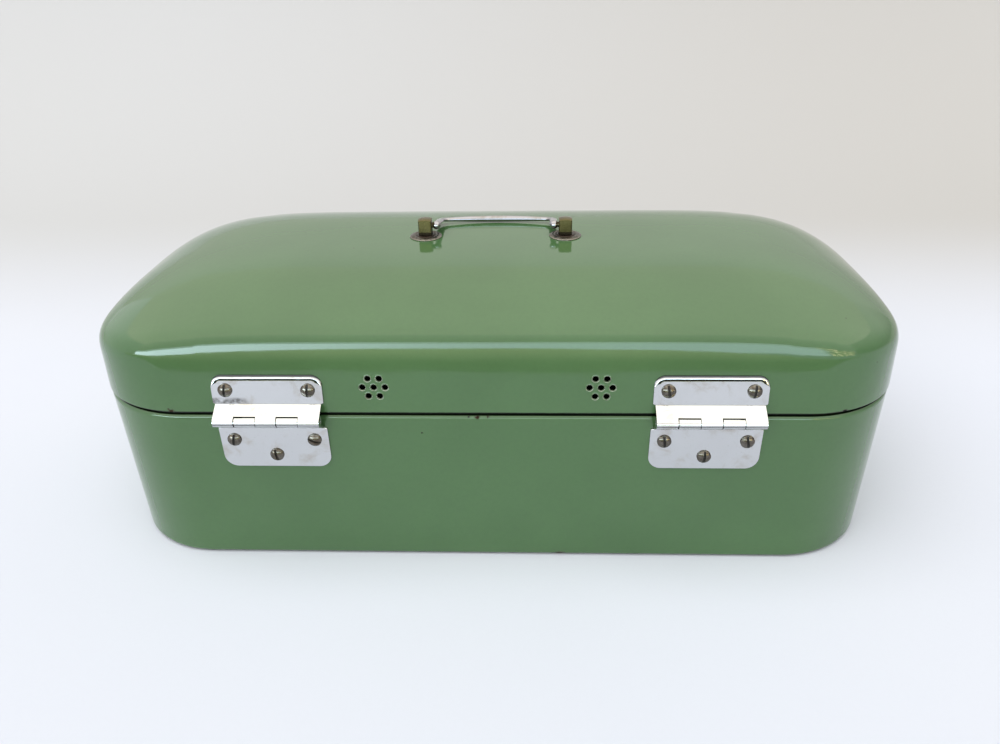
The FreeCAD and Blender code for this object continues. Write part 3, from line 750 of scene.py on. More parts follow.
def build_lid():
    P, N = lid_rows()
    skin = Skin()
    outer = [skin.row(r) for r in P]
    inner = [skin.row(p - n * T) for p, n in zip(P, N)]
    # rounded edge at the rim
    rim = []
    nh = N[0]
    mid = P[0] - nh * (T / 2)
    for k in range(1, 9):
        a = math.pi * k / 9
        down = np.zeros_like(nh)
        down[:, 2] = -1.0
        rim.append(skin.row(mid + nh * (T / 2) * math.cos(a) + down * (T / 2) * math.sin(a)))
    chain = [outer[0]] + rim + [inner[0]]
    for a, b in zip(chain, chain[1:]):
        skin.join(a, b)
    r_v = (Z_ROWS.index(102.6), Z_ROWS.index(118.2))
    r_s = (Z_ROWS.index(104.6), Z_ROWS.index(113.0))
    spans, put = [], []
    for sx in (-1, 1):
        vents = [(OFF + sx * VENT_X + du, VENT_Z + dz, "vent") for du, dz in
                 ((0, 0), (-VENT_P, 0), (VENT_P, 0), (-VENT_P / 2, VENT_ROW), (VENT_P / 2, VENT_ROW),
                  (-VENT_P / 2, -VENT_ROW), (VENT_P / 2, -VENT_ROW))]
        spans.append((r_v, block(1, sx * 45, sx * 69), 1, vents))
        for su in (-1, 1):
            x = OFF + sx * HX + su * SX
            lo, hi = 3 * math.floor((x - 3.2) / 3), 3 * math.ceil((x + 3.2) / 3)
            spans.append((r_s, block(1, lo, hi), 1, [(x, SZ_U, 2.1)]))
        spans.append((r_s, block(-1, sx * 9, sx * 18), -1, [(-sx * LSX, LSZ_U, 1.6)]))
    skip = {}
    for (j0, j1), cols, sy, holes in spans:
        for j in range(j0, j1):
            skip.setdefault(j, set()).update(cols[:-1])
    for j in range(len(outer) - 1):
        skin.join(outer[j], outer[j + 1], skip.get(j, ()))
        skin.join(inner[j], inner[j + 1], skip.get(j, ()))
    for rows, cols, sy, holes in spans:
        add_patch(skin, outer, inner, rows, cols, sy, holes, True, put)
    return mesh_of(skin.v, skin.f, "lid", weld=0.003)


BZ = [8.0, 16.0, 26.0, 36.0, 46.0, 56.0, 66.0, 75.0, 84.5, 90.0, 91.2]


def build_base():
    ins = lambda z: BASE_IN + LEAN_BASE * (ZR - z)
    skin = Skin()
    def ring(i, z):
        pts = []
        for st in ST:
            p, n = plan(st, A - i, B - i, max(RR - i, 2.0))
            pts.append((p[0], p[1], z))
        return pts
    # outside, from the flat underside up
    prof = []
    for t in (0.0, 0.06, 0.2, 0.45):
        prof.append((ins(0) + 3.2 + 40 * (1 - t) ** 2 if t < 0.45 else ins(0) + 3.6, 0.0))
    prof += [(ins(0) + 3.2, 0.0)]
    for k in range(1, 8):
        a = math.pi / 2 * k / 8
        prof.append((ins(0) + 3.2 * (1 - math.sin(a)), 3.2 * (1 - math.cos(a))))
    prof.append((ins(3.2), 3.2))
    prof.append((ins(3.7), 3.7))
    first = len(prof)
    prof += [(ins(z), z) for z in BZ]
    prof.append((ins(91.5), 91.5))
    for k in range(1, 8):
        a = math.pi / 2 * k / 8
        prof.append((ins(91.5) + 1.75 * (1 - math.cos(a)), 91.5 + 2.5 * math.sin(a)))
    n_o, n_i = BASE_IN + 2.2, BASE_IN + 2.2 + T
    prof += [(n_o - 0.35, 94.0), (n_o - 0.15, 94.05), (n_o - 0.03, 94.2), (n_o, 94.45), (n_o, 95.2), (n_o, 102.0), (n_o, 102.3)]
    for k in range(1, 8):
        a = math.pi * k / 8
        prof.append((n_o + 0.6 - 0.6 * math.cos(a), 102.2 + 0.6 * math.sin(a)))
    prof += [(n_i, 102.3), (n_i, 102.0), (n_i, 93.6), (n_i, 93.2), (n_i - 0.12, 92.9), (n_i - 0.4, 92.75),
             (ins(92.4) + T + 1.1, 92.65), (ins(91.8) + T + 0.5, 92.3), (ins(91) + T + 0.12, 91.5), (ins(91) + T, 90.9)]
    inner_first = len(prof)
    prof += [(ins(z) + T, z) for z in reversed(BZ[:-1])]
    prof.append((ins(3.7) + T, 3.9))
    for k in range(0, 8):
        a = math.pi / 2 * k / 8
        prof.append((ins(3.2) + T + 2.0 * (1 - math.cos(a)), 3.2 - 2.0 * math.sin(a)))
    prof.append((ins(3.2) + T + 2.0, 1.2))
    prof.append((ins(3.2) + T + 2.4, 1.2))
    prof += [(ins(3.2) + T + 12, 1.2), (ins(3.2) + T + 40, 1.2)]
    prof = prof[0:1] + prof[3:] if False else prof
    rows = [skin.row(ring(i, z)) for i, z in prof]
    outer = {k: rows[first + k] for k in range(len(BZ))}
    inner = {k: rows[inner_first + (len(BZ) - 2 - k)] for k in range(len(BZ) - 1)}
    spans, put = [], []
    for sx in (-1, 1):
        for su in (-1, 1):
            x = OFF + sx * HX + su * SX
            lo, hi = 3 * math.floor((x - 3.2) / 3), 3 * math.ceil((x + 3.2) / 3)
            spans.append(((7, 8), block(1, lo, hi), 1, [(x, SZ_L, 2.1)]))
        x = OFF + sx * HX
        lo, hi = 3 * math.floor((x - 3.2) / 3), 3 * math.ceil((x + 3.2) / 3)
        spans.append(((6, 7), block(1, lo, hi), 1, [(x, SZ_M, 2.1)]))
        spans.append(((7, 8), block(-1, sx * 9, sx * 18), -1, [(-sx * LSX, LSZ_L, 1.6)]))
    skip_o, skip_i = {}, {}
    for (j0, j1), cols, sy, holes in spans:
        for j in range(j0, j1):
            skip_o.setdefault(first + j, set()).update(cols[:-1])
            skip_i.setdefault(inner_first + (len(BZ) - 2 - j) - 1, set()).update(cols[:-1])
    for j in range(len(rows) - 1):
        skin.join(rows[j], rows[j + 1], skip_o.get(j, set()) | skip_i.get(j, set()))
    # flat middles of the underside and the floor
    for r in (rows[0], rows[-1]):
        prev = r
        for k in range(1, 9):
            t = k / 8
            pts = []
            for i in r:
                x, y, z = skin.v[i]
                m = medial((x, y))
                pts.append((x + (m[0] - x) * t, y + (m[1] - y) * t, z))
            cur = skin.row(pts)
            skin.join(prev, cur)
            prev = cur
    for rws, cols, sy, holes in spans:
        add_patch(skin, outer, inner, rws, cols, sy, holes, False, put)
    return mesh_of(skin.v, skin.f, "base", weld=0.003)


# ------------------------------------------------------------------ sheet metal fittings
def arc_pts(cx, cy, r, a0, a1, n):
    return [(cx + r * math.cos(a0 + (a1 - a0) * k / n), cy + r * math.sin(a0 + (a1 - a0) * k / n)) for k in range(n + 1)]


def rounded(points, radii, n=7):
    """Polygon with its corners rounded; a radius of 0 keeps a corner."""
    out = []
    m = len(points)
    for i in range(m):
        p, a, b, r = np.array(points[i], float), np.array(points[i - 1], float), np.array(points[(i + 1) % m], float), radii[i]
        if r <= 0:
            out.append(tuple(p))
            continue
        u, v = (a - p) / np.linalg.norm(a - p), (b - p) / np.linalg.norm(b - p)
        half = math.acos(max(-1, min(1, u @ v))) / 2
        t = r / math.tan(half)
        c = p + (u + v) / np.linalg.norm(u + v) * (r / math.sin(half))
        s, e = p + u * t - c, p + v * t - c
        a0, a1 = math.atan2(s[1], s[0]), math.atan2(e[1], e[0])
        d = (a1 - a0 + math.pi) % (2 * math.pi) - math.pi
        out += [(c[0] + r * math.cos(a0 + d * k / n), c[1] + r * math.sin(a0 + d * k / n)) for k in range(n + 1)]
    return out


def tangent(px, pz, cx, cz, r, side):
    dx, dz = cx - px, cz - pz
    d = math.hypot(dx, dz)
    a = math.atan2(dz, dx) + side * math.asin(r / d)
    l = math.sqrt(d * d - r * r)
    return (px + l * math.cos(a), pz + l * math.sin(a)), a


def curl_profile(wall, v_end, v_bend, cx, cz, r, rp, side, th, clear, lean, ref_y, ref_in, bend_r=0.9):
    """YZ outline of a leaf: flat on the wall, cranked outward, and curled round its pin with a seam."""
    w2 = lambda o, v: wall(0, o, v)[1:]
    p = w2(th_flat, v_bend)
    (ty, tz), a = tangent(p[0], p[1], cx, cz, r, side)
    th0 = math.atan2(tz - cz, ty - cx)
    sgn = -side
    th1 = th0 + sgn * math.radians(360 - math.degrees(math.acos(rp / r)) - 5)
    outer = arc_pts(cx, cz, r, th0, th1, 56)
    inner = arc_pts(cx, cz, rp, th1, th0, 56)
    iy, iz = inner[-1]
    if side > 0:
        t = (iy - ref_y + lean * (iz - ZR) - clear) / (math.cos(a) + lean * math.sin(a))
    else:
        t = (iy - ref_y + ref_in + lean * (ZR - iz) - clear) / (math.cos(a) - lean * math.sin(a))
    j = (iy - math.cos(a) * t, iz - math.sin(a) * t)
    e0 = w2(th_flat, v_end)
    e1 = w2(0.0, v_end)
    return [e0, p] + outer + inner + [j, e1], a, j


th_flat = LEAF_T


def pillow(outline, depth, tall, mat, back=-4.0, steps=9):
    """Plate with a rounded front edge. outline: (x, v, nx, nv, w) with inward normals; w scales the rounding."""
    rings = [[(x, back, v) for x, v, nx, nv, w in outline]]
    t0 = LEAF_T - depth
    for k in range(steps + 1):
        q = math.pi / 2 * k / steps
        d, o = tall * (1 - math.cos(q)), t0 + depth * math.sin(q)
        rings.append([(x + nx * d * w, o, v + nv * d * w) for x, v, nx, nv, w in outline])
    return moved(loft(rings), mat)


def outline_of(pts, weight):
    """Adds inward normals and weights to a closed outline given clockwise or not."""
    P = np.array(pts, float)
    area = 0.5 * np.sum(P[:, 0] * np.roll(P[:, 1], -1) - np.roll(P[:, 0], -1) * P[:, 1])
    s = 1.0 if area > 0 else -1.0
    out = []
    m = len(P)
    for i in range(m):
        e0, e1 = P[i] - P[i - 1], P[(i + 1) % m] - P[i]
        e0, e1 = e0 / np.linalg.norm(e0), e1 / np.linalg.norm(e1)
        n0, n1 = s * np.array([-e0[1], e0[0]]), s * np.array([-e1[1], e1[0]])
        n = n0 + n1
        n = n / (n @ n0)
        out.append((P[i][0], P[i][1], n[0], n[1], weight(P[i])))
    return out


def cyl_x(y, z, r, x0, x1, seg=64):
    return prism([(y + r * math.cos(2 * math.pi * k / seg), z + r * math.sin(2 * math.pi * k / seg)) for k in range(seg)], 0, x0, x1)


def wall_hole(x, v, r, lid, sy=1, seg=40):
    me = revolve([(0, -6), (r, -6), (r, 8), (0, 8)], seg)
    me = moved(me, stand((0, 1, 0)))
    me = shift(me, x, 0, v)
    return moved(me, wall_matrix(lid, sy))


def hinge_leaf(upper):
    wall = on_lid if upper else on_base
    if upper:
        prof, a, j = curl_profile(wall, 119.5, 101.9, CX, CZ, R_BARREL, R_PIN, 1, LEAF_T, 0.03, LEAN_LID, B, 0)
        pts = rounded([(-28.8, 117.3), (28.8, 117.3), (28.8, 102.0), (27.4, 101.4), (27.4, 84.0), (-27.4, 84.0), (-27.4, 101.4), (-28.8, 102.0)],
                      [6.0, 6.0, 0.7, 0.7, 0, 0, 0.7, 0.7], 10)
        def weight(p):
            return 0.10 + 0.90 * max(0.0, min(1.0, (p[1] - 111.2) / 3.6))
        cut = pillow(outline_of(pts, weight), 1.22, 2.8, wall_matrix(True))
        zones = (1, 3)
    else:
        prof, a, j = curl_profile(wall, 60.0, 86.9, CX, CZ, R_BARREL - 0.12, R_PIN, -1, LEAF_T, 0.03, LEAN_BASE, B, BASE_IN)
        pts = rounded([(-28.8, 62.6), (28.8, 62.6), (28.8, 86.8), (27.4, 87.4), (27.4, 110.0), (-27.4, 110.0), (-27.4, 87.4), (-28.8, 86.8)],
                      [7.0, 7.0, 0.7, 0.7, 0, 0, 0.7, 0.7], 10)
        cut = pillow(outline_of(pts, lambda p: 0.5), 0.45, 0.7, wall_matrix(False))
        zones = (0, 2, 4)
    # the plate is the curled profile; the rounded plate trims it where it lies on the wall
    me = prism(prof, 0, -28.8, 28.8)
    seg = BARREL_W / 5.0
    cutters = []
    big = []
    side_box = prism([(B + 1.9, 60), (B + 40, 60), (B + 40, 130), (B + 1.9, 130)], 0, -60, -27.4)
    lim = prism([(B - 6, 55), (B + 30, 55), (B + 30, 125), (B - 6, 125)], 0, -27.4, 27.4)
    # flat part trimmed by the rounded plate, cranked part by its narrower width
    flat_zone = zone_box(upper, True)
    crank_zone = zone_box(upper, False)
    flat = boolean(boolean(me.copy(), flat_zone, "INTERSECT"), cut, "INTERSECT")
    crank = boolean(boolean(me, crank_zone, "INTERSECT"), lim, "INTERSECT")
    for k in zones:
        x0 = -BARREL_W / 2 + k * seg
        lo = x0 - (0.17 if k else 3.0)
        hi = x0 + seg + (0.13 if k < 4 else 3.0)
        if upper:
            hi = hi + 0.22
        cutters.append(cyl_x(CX, CZ, R_BARREL + (0.42 if upper else 0.3), lo, hi))
    crank = boolean(crank, cutters)
    me = boolean(flat, crank, "UNION")
    holes = ((-SX, SZ_U), (SX, SZ_U)) if upper else ((-SX, SZ_L), (SX, SZ_L), (0, SZ_M))
    me = boolean(me, [wall_hole(u, v, 2.1, upper) for u, v in holes])
    return clean(me)


def zone_box(upper, flat):
    """Half space in the wall's frame above or below the bend line, as a box."""
    v = 101.55 if upper else 87.25
    if upper:
        lo, hi = (v, 140) if flat else (40, v + 0.02)
    else:
        lo, hi = (20, v) if flat else (v - 0.02, 140)
    me = prism([(-8, lo), (14, lo), (14, hi), (-8, hi)], 0, -40, 40)
    return moved(me, wall_matrix(upper))


def head_profile(hr, hh, sr, sl):
    """Round headed screw, head on h = 0, shank down to -sl with thread at its end."""
    rise = hh * 0.62
    rs = (hr * hr + rise * rise) / (2 * rise)
    prof = [(0, hh)]
    for k in range(1, 13):
        a = math.asin(hr / rs) * k / 12
        prof.append((rs * math.sin(a), hh - rs + rs * math.cos(a)))
    r_, h_ = prof[-1]
    prof[-1] = (r_ - 0.14, h_ + 0.03)
    prof += [(r_, h_ - 0.14), (hr, 0.28), (hr - 0.06, 0.1), (hr - 0.2, 0.0), (sr + 0.05, 0.0), (sr, -0.08)]
    h = -1.6
    prof.append((sr, h))
    while h > -sl + 0.55:
        prof += [(sr - 0.26, h - 0.18), (sr - 0.26, h - 0.26), (sr - 0.02, h - 0.42), (sr - 0.02, h - 0.5)]
        h -= 0.6
    prof += [(sr - 0.28, -sl + 0.06), (sr - 0.5, -sl), (0, -sl)]
    return prof


def screw(hr, hh, sr, sl, slot_w, slot_d, turn, tilt=0.0):
    me = revolve(head_profile(hr, hh, sr, sl), 56)
    c = prism([(-slot_w / 2, hh - slot_d), (slot_w / 2, hh - slot_d), (slot_w / 2 + 0.04, hh + 1), (-slot_w / 2 - 0.04, hh + 1)], 1, -hr - 1, hr + 1)
    c = moved(c, Matrix.Rotation(math.radians(turn), 4, "Z"))
    me = boolean(me, c)
    me.materials.clear()
    t = math.radians(turn)
    for p in me.polygons:
        c = p.center / MM
        across = abs(c.x * math.cos(t) + c.y * math.sin(t))
        if c.z > hh - slot_d - 0.02 and across < slot_w / 2 + 0.05 and (abs(p.normal.z) < 0.3 or c.z < hh - slot_d + 0.02) and math.hypot(c.x, c.y) < hr - 0.05:
            p.material_index = 1
        else:
            p.material_index = 0
    return me


def nut(af, t, r, seg=48):
    """Hexagon nut standing on z = 0, chamfered both sides, with a threaded hole."""
    c = af / math.sqrt(3.0)
    hexa = prism([(c * math.cos(math.radians(60 * i)), c * math.sin(math.radians(60 * i))) for i in range(6)], 2, 0, t)
    ch = c - af / 2 * 0.99
    body = revolve([(0, -0.01), (c - ch * 1.0, -0.01), (c + 0.05, ch * 0.62), (c + 0.05, t - ch * 0.62), (c - ch * 1.0, t + 0.01), (0, t + 0.01)], 72)
    me = boolean(hexa, body, "INTERSECT")
    bore = [(0, -1), (r + 0.35, -1), (r + 0.35, 0.0), (r + 0.02, 0.32), (r + 0.02, t - 0.32), (r + 0.35, t), (r + 0.35, t + 1), (0, t + 1)]
    return clean(boolean(me, revolve(bore, seg)))


def place_on_wall(me, x, o, v, lid, sy=1, flip=False):
    """Stands a mesh drawn along Z so that Z points out of the wall (or into it)."""
    me = moved(me, stand((0, -1 if flip else 1, 0)))
    me = shift(me, x, o, v)
    return moved(me, wall_matrix(lid, sy))


# ---- build everything
lid_me, base_me = build_lid(), build_base()
lid_o = piece("lid_shell_look", lid_me, "lid_shell", "lid", MAT_ENAMEL, weighted=False)
lid_me.materials.append(MAT_LIP)
centres = [Vector(on_lid(OFF + sx * VENT_X + du, 0, VENT_Z + dz)) for sx in (-1, 1) for du, dz in
           ((0, 0), (-VENT_P, 0), (VENT_P, 0), (-VENT_P / 2, VENT_ROW), (VENT_P / 2, VENT_ROW),
            (-VENT_P / 2, -VENT_ROW), (VENT_P / 2, -VENT_ROW))]
axis = Vector((0, math.cos(UP), math.sin(UP)))
# the vent lips take the pale lip enamel, which carries a painted highlight
for p in lid_me.polygons:
    c = p.center / MM
    if c.y > 90 and 100 < c.z < 120 and abs(c.x) < 72:
        for k in centres:
            d = c - k
            o = d.dot(axis)
            if (d - axis * o).length < 1.98 and o > -1.05:
                p.material_index = 1
piece("base_tub_look", base_me, "base_tub", "base", MAT_ENAMEL, weighted=False)

up_leaf, low_leaf = hinge_leaf(True), hinge_leaf(False)
pin_me = moved(revolve([(0, -27.35), (1.15, -27.35), (1.38, -27.2), (1.47, -26.95), (1.47, 26.95), (1.38, 27.2), (1.15, 27.35), (0, 27.35)], 40), stand((1, 0, 0)))
pin_me = shift(pin_me, 0, CX, CZ)
for sx, side in ((1, "right"), (-1, "left")):
    piece("hinge_%s_lid_leaf_look" % side, shift(up_leaf.copy(), OFF + sx * HX), "hinge_%s_lid_leaf" % side, "lid", MAT_HINGE, 0.16, 2, 30)
    piece("hinge_%s_base_leaf_look" % side, shift(low_leaf.copy(), OFF + sx * HX), "hinge_%s_base_leaf" % side, "base", MAT_HINGE, 0.16, 2, 30)
    piece("hinge_%s_pin_look" % side, shift(pin_me.copy(), OFF + sx * HX), "hinge_%s_pin" % side, "base", MAT_PIN)

# slots stand nearly upright; one head at the base has turned
turn_u = {(1, 1): -5, (1, -1): -3, (-1, 1): 7, (-1, -1): -6}
turn_l = {(1, 1): -8, (1, -1): 70, (-1, 1): 6, (-1, -1): 9}
turn_m = {1: 8, -1: -4}
s_up, n_up, s_lo, n_lo = [], [], [], []
for sx in (1, -1):
    for su in (1, -1):
        u = OFF + sx * HX + su * SX
        s_up.append(place_on_wall(screw(3.65, 2.1, 2.0, 8.2, 1.25, 1.3, turn_u[(sx, su)]), u, LEAF_T, SZ_U, True))
        n_up.append(place_on_wall(moved(nut(7.0, 3.2, 2.0), Matrix.Rotation(0.4 * su + sx, 4, "Z")), u, -T - 0.05, SZ_U, True, flip=True))
        s_lo.append(place_on_wall(screw(3.65, 2.1, 2.0, 8.2, 1.25, 1.3, turn_l[(sx, su)]), u, LEAF_T, SZ_L, False))
        n_lo.append(place_on_wall(moved(nut(7.0, 3.2, 2.0), Matrix.Rotation(0.7 * su - sx, 4, "Z")), u, -T - 0.05, SZ_L, False, flip=True))
    s_lo.append(place_on_wall(screw(3.65, 2.1, 2.0, 8.2, 1.25, 1.3, turn_m[sx]), OFF + sx * HX, LEAF_T, SZ_M, False))
    n_lo.append(place_on_wall(moved(nut(7.0, 3.2, 2.0), Matrix.Rotation(0.2 * sx, 4, "Z")), OFF + sx * HX, -T - 0.05, SZ_M, False, flip=True))
piece("hinge_lid_screws_look", joined(s_up), "hinge_lid_screws", "lid", MAT_SCREW, 0.10, 2, 35, second=MAT_SLOT)
piece("hinge_lid_nuts_look", joined(n_up), "hinge_lid_nuts", "lid", MAT_NUT, 0.12, 2, 35)
piece("hinge_base_screws_look", joined(s_lo), "hinge_base_screws", "base", MAT_SCREW, 0.10, 2, 35, second=MAT_SLOT)
piece("hinge_base_nuts_look", joined(n_lo), "hinge_base_nuts", "base", MAT_NUT, 0.12, 2, 35)

# ---- handle
h = 7.6 / 2
sq = rounded([(-h, -h), (h, -h), (h, h), (-h, h)], [0.75] * 4, 5)
post = prism(sq, 2, Z_SEAT, POST_TOP + 1)
ball = shift(revolve([(15 * math.sin(math.pi * k / 72), 15 * math.cos(math.pi * k / 72)) for k in range(0, 73)], 96), 0, 0, POST_TOP - 15)
post = boolean(post, ball, "INTERSECT")
shank = revolve([(0, 148.2), (2.1, 148.2), (2.35, 148.5), (2.35, Z_SEAT + 1), (0, Z_SEAT + 1)], 40)
post = boolean(post, shank, "UNION")
for sx, side in ((1, "right"), (-1, "left")):
    hole = shift(moved(revolve([(0, 0), (1.66, 0), (1.66, 6.6), (0, 6.6)], 40), stand((sx, 0, 0))), sx * (PX - h - 1), 0, Z_BAIL)
    me = clean(boolean(shift(post.copy(), sx * PX), hole), 1.0)
    piece("handle_post_%s_look" % side, me, "handle_post_%s" % side, "lid", MAT_POST, 0.28, 3, 30)

zc = 155.85
dish = [(2.5, zc + 0.55), (2.5, Z_SEAT - 0.05), (4.9, Z_SEAT), (5.35, Z_SEAT - 0.06), (5.6, Z_SEAT - 0.28), (5.8, Z_SEAT - 0.52), (6.05, Z_SEAT - 0.62),
        (6.35, Z_SEAT - 0.50), (6.6, Z_SEAT - 0.25), (6.95, Z_SEAT - 0.14), (7.5, Z_SEAT - 0.2), (8.3, Z_SEAT - 0.48), (8.95, Z_SEAT - 0.82),
        (9.35, zc + 0.42), (9.48, zc + 0.22), (9.4, zc + 0.05), (9.2, zc), (8.6, zc), (7.4, zc + 0.30), (6.3, zc + 0.5)]
piece("handle_washers_look", joined([shift(revolve(dish, 72, True), s * PX) for s in (-1, 1)]), "handle_washers", "lid", MAT_WASHER, weighted=False)
zi = 155.8 - T - 0.05
flatw = [(2.5, zi), (7.7, zi), (7.95, zi - 0.15), (8.0, zi - 0.4), (8.0, zi - 0.8), (7.9, zi - 1.08), (7.7, zi - 1.2), (2.75, zi - 1.2), (2.5, zi - 1.0)]
piece("handle_inner_washers_look", joined([shift(revolve(flatw, 64, True), s * PX) for s in (-1, 1)]), "handle_inner_washers", "lid", MAT_NUT)
hn = [shift(moved(nut(8.0, 4.0, 2.35), Matrix.Rotation(math.pi, 4, "X") @ Matrix.Rotation(0.3 * s, 4, "Z")), s * PX, 0, zi - 1.2) for s in (-1, 1)]
piece("handle_nuts_look", joined(hn), "handle_nuts", "lid", MAT_NUT, 0.12, 2, 35)


def build_bail():
    bx, reach, bow, cor = 34.5, 28.0, 146.6, 5.0
    yc = -reach + bow
    kx = bx - cor
    ky = yc - math.sqrt((bow - cor) ** 2 - kx ** 2)
    g = math.atan2(ky - yc, kx)
    path = [(bx, -y) for y in np.linspace(0, -ky, 26)]
    a_end = g
    n = 16
    path += [(kx + cor * math.cos(a_end * k / n), ky + cor * math.sin(a_end * k / n)) for k in range(1, n + 1)]
    m = 60
    a0, a1 = math.atan2(ky - yc, kx), -math.pi / 2
    half = [(bow * math.cos(a0 + (a1 - a0) * k / m), yc + bow * math.sin(a0 + (a1 - a0) * k / m)) for k in range(1, m + 1)]
    path += half
    full = path + [(-x, y) for x, y in reversed(path[:-1])]
    P = np.array(full)
    d = np.r_[0, np.cumsum(np.hypot(*np.diff(P, axis=0).T))]
    L = d[-1]
    e = np.minimum(d, L - d)
    knots = [0, 5, 12, 18, 22.5, 26.0, 29.0, 34, 42, L / 2]
    wa = np.interp(e, knots, [1.75, 1.75, 2.15, 2.45, 2.35, 1.75, 1.35, 1.55, 1.80, 2.0])
    wb = np.interp(e, knots, [1.75, 1.45, 1.20, 1.10, 1.15, 1.25, 1.25, 1.45, 1.70, 1.9])
    k = np.exp(-0.5 * (np.arange(-9, 10) / 3.5) ** 2)
    k /= k.sum()
    wa = np.convolve(np.pad(wa, 9, "edge"), k, "valid")
    wb = np.convolve(np.pad(wb, 9, "edge"), k, "valid")
    tan = np.gradient(P, axis=0)
    tan /= np.linalg.norm(tan, axis=1)[:, None]
    rings = []
    for (x, y), (tx, ty), a, b in zip(P, tan, wa, wb):
        nx, ny = -ty, tx
        rings.append([(x + nx * a * math.cos(q), y + ny * a * math.cos(q), b * math.sin(q)) for q in np.linspace(0, 2 * math.pi, 33)[:-1]])
    me = loft(rings)
    for s in (-1, 1):
        eye = revolve([(2.5 * math.sin(math.pi * k / 24), -2.5 * math.cos(math.pi * k / 24)) for k in range(25)], 40)
        eye = shift(moved(eye, stand((1, 0, 0))), s * bx)
        me = boolean(me, eye, "UNION")
        tr = revolve([(0, 0), (1.6, 0), (1.6, 6.3), (1.35, 6.55), (0, 6.55)], 40)
        me = boolean(me, shift(moved(tr, stand((s, 0, 0))), s * bx), "UNION")
    me = moved(me, Matrix.Rotation(math.radians(10.3), 4, "X"))
    return shift(me, 0, 0, Z_BAIL)


piece("handle_bail_look", build_bail(), "handle_bail", "bail", MAT_HANDLE, weighted=False)


# ---- hasp at the front
def latch_plate():
    wall = on_lid
    p = wall(0, LEAF_T, 102.3)[1:]
    (ty, tz), a = tangent(p[0], p[1], LX, LZ, L_BARREL, 1)
    th0 = math.atan2(tz - LZ, ty - LX)
    outer = arc_pts(LX, LZ, L_BARREL, th0, th0 - math.radians(296), 44)
    inner = arc_pts(LX, LZ, L_PIN, th0 - math.radians(296), th0, 44)
    iy, iz = inner[-1]
    wy = B - LEAN_LID * (iz + 0.1 - ZR) + 0.03
    e0, e1 = wall(0, LEAF_T, 119.5)[1:], wall(0, 0.0, 119.5)[1:]
    q = wall(0, 0.03, 102.6)[1:]
    me = prism([e0, p] + outer + inner + [(wy, iz + 0.1), q, e1], 0, -20, 20)
    pts = rounded([(-20, 117.0), (20, 117.0), (20, 102.6), (18, 101.9), (18, 90), (-18, 90), (-18, 101.9), (-20, 102.6)],
                  [5.0, 5.0, 0.8, 0.8, 0, 0, 0.8, 0.8], 9)
    w = lambda p_: 0.15 + 0.85 * max(0.0, min(1.0, (p_[1] - 111.5) / 3.0))
    flatm = boolean(boolean(me.copy(), band(True, 101.95, 140), "INTERSECT"), pillow(outline_of(pts, w), 1.15, 1.7, wall_matrix(True)), "INTERSECT")
    lim = prism([(B - 8, 80), (B + 30, 80), (B + 30, 125), (B - 8, 125)], 0, -18, 18)
    crank = boolean(boolean(me, band(True, 60, 101.97), "INTERSECT"), lim, "INTERSECT")
    crank = boolean(crank, cyl_x(LX, LZ, L_BARREL + 0.3, -8.15, 8.15))
    me = boolean(flatm, crank, "UNION")
    me = boolean(me, [wall_hole(u, LSZ_U, 1.6, True) for u in (-LSX, LSX)])
    return clean(me)


def band(lid, lo, hi):
    return moved(prism([(-8, lo), (14, lo), (14, hi), (-8, hi)], 0, -40, 40), wall_matrix(lid))


def latch_hasp():
    o1 = LX + L_BARREL
    th = 1.3
    # YZ run of the hasp: curled round the pin, down, and turned out at the lip
    outer = arc_pts(LX, LZ, L_BARREL, math.radians(0), math.radians(303), 46)
    inner = arc_pts(LX, LZ, 1.05, math.radians(303), math.radians(0), 46)
    down = rounded([(o1, LZ - 2.6), (o1, 73.3), (o1 + 3.6, 69.8), (o1 + 2.9, 68.8), (o1 - 0.9, 72.6), (o1 - th, 73.6), (o1 - th, LZ - 2.6)],
                   [0, 2.2, 0.45, 0.45, 0, 1.2, 0], 7)
    curl = prism(outer + inner, 0, -8, 8)
    neck = prism([(o1 - th + 0.02, 94.0), (o1, 94.0), (o1, LZ + 0.2), (o1 - 0.95, LZ + 0.2)], 0, -8, 8)
    run = prism(down, 0, -10, 10)
    out = rounded([(-8, 97.5), (-8, 95.8), (-10, 94.2), (-10, 66.0), (10, 66.0), (10, 94.2), (8, 95.8), (8, 97.5)], [0, 1.5, 1.5, 3.2, 3.2, 1.5, 1.5, 0], 8)
    run = boolean(run, prism(out, 1, B - 10, B + 30), "INTERSECT")
    me = boolean(run, neck, "UNION")
    me = boolean(me, curl, "UNION")
    bead = cyl_x(o1 - th, 84.2, 1.4, -6, 6, 40)
    half = prism([(o1 - th - 3, 80), (o1 - 0.4, 80), (o1 - 0.4, 90), (o1 - th - 3, 90)], 0, -6, 6)
    me = boolean(me, boolean(bead, half, "INTERSECT"), "UNION")
    groove = cyl_x(o1 + 0.55, 84.2, 0.95, -6.5, 6.5, 40)
    me = boolean(me, groove)
    me = boolean(me, cyl_x(LX, LZ, 1.05, -20, 20))
    return clean(me)


def latch_catch():
    p = on_base(0, LEAF_T, 87.6)
    pts = rounded([(-19, 91.5), (19, 91.5), (19, 67.0), (-19, 67.0)], [4.0, 4.0, 6.0, 6.0], 10)
    me = pillow(outline_of(pts, lambda q: 1.0), 0.7, 0.9, wall_matrix(False), back=0.0)
    bead = cyl_x(p[1], 87.6, 1.85, -9, 9, 48)
    keep = moved(prism([(0.02, 80), (12, 80), (12, 95), (0.02, 95)], 0, -9.0, 9.0), wall_matrix(False))
    me = boolean(me, boolean(bead, keep, "INTERSECT"), "UNION")
    me = boolean(me, [wall_hole(u, LSZ_L, 1.6, False) for u in (-LSX, LSX)])
    return clean(me)


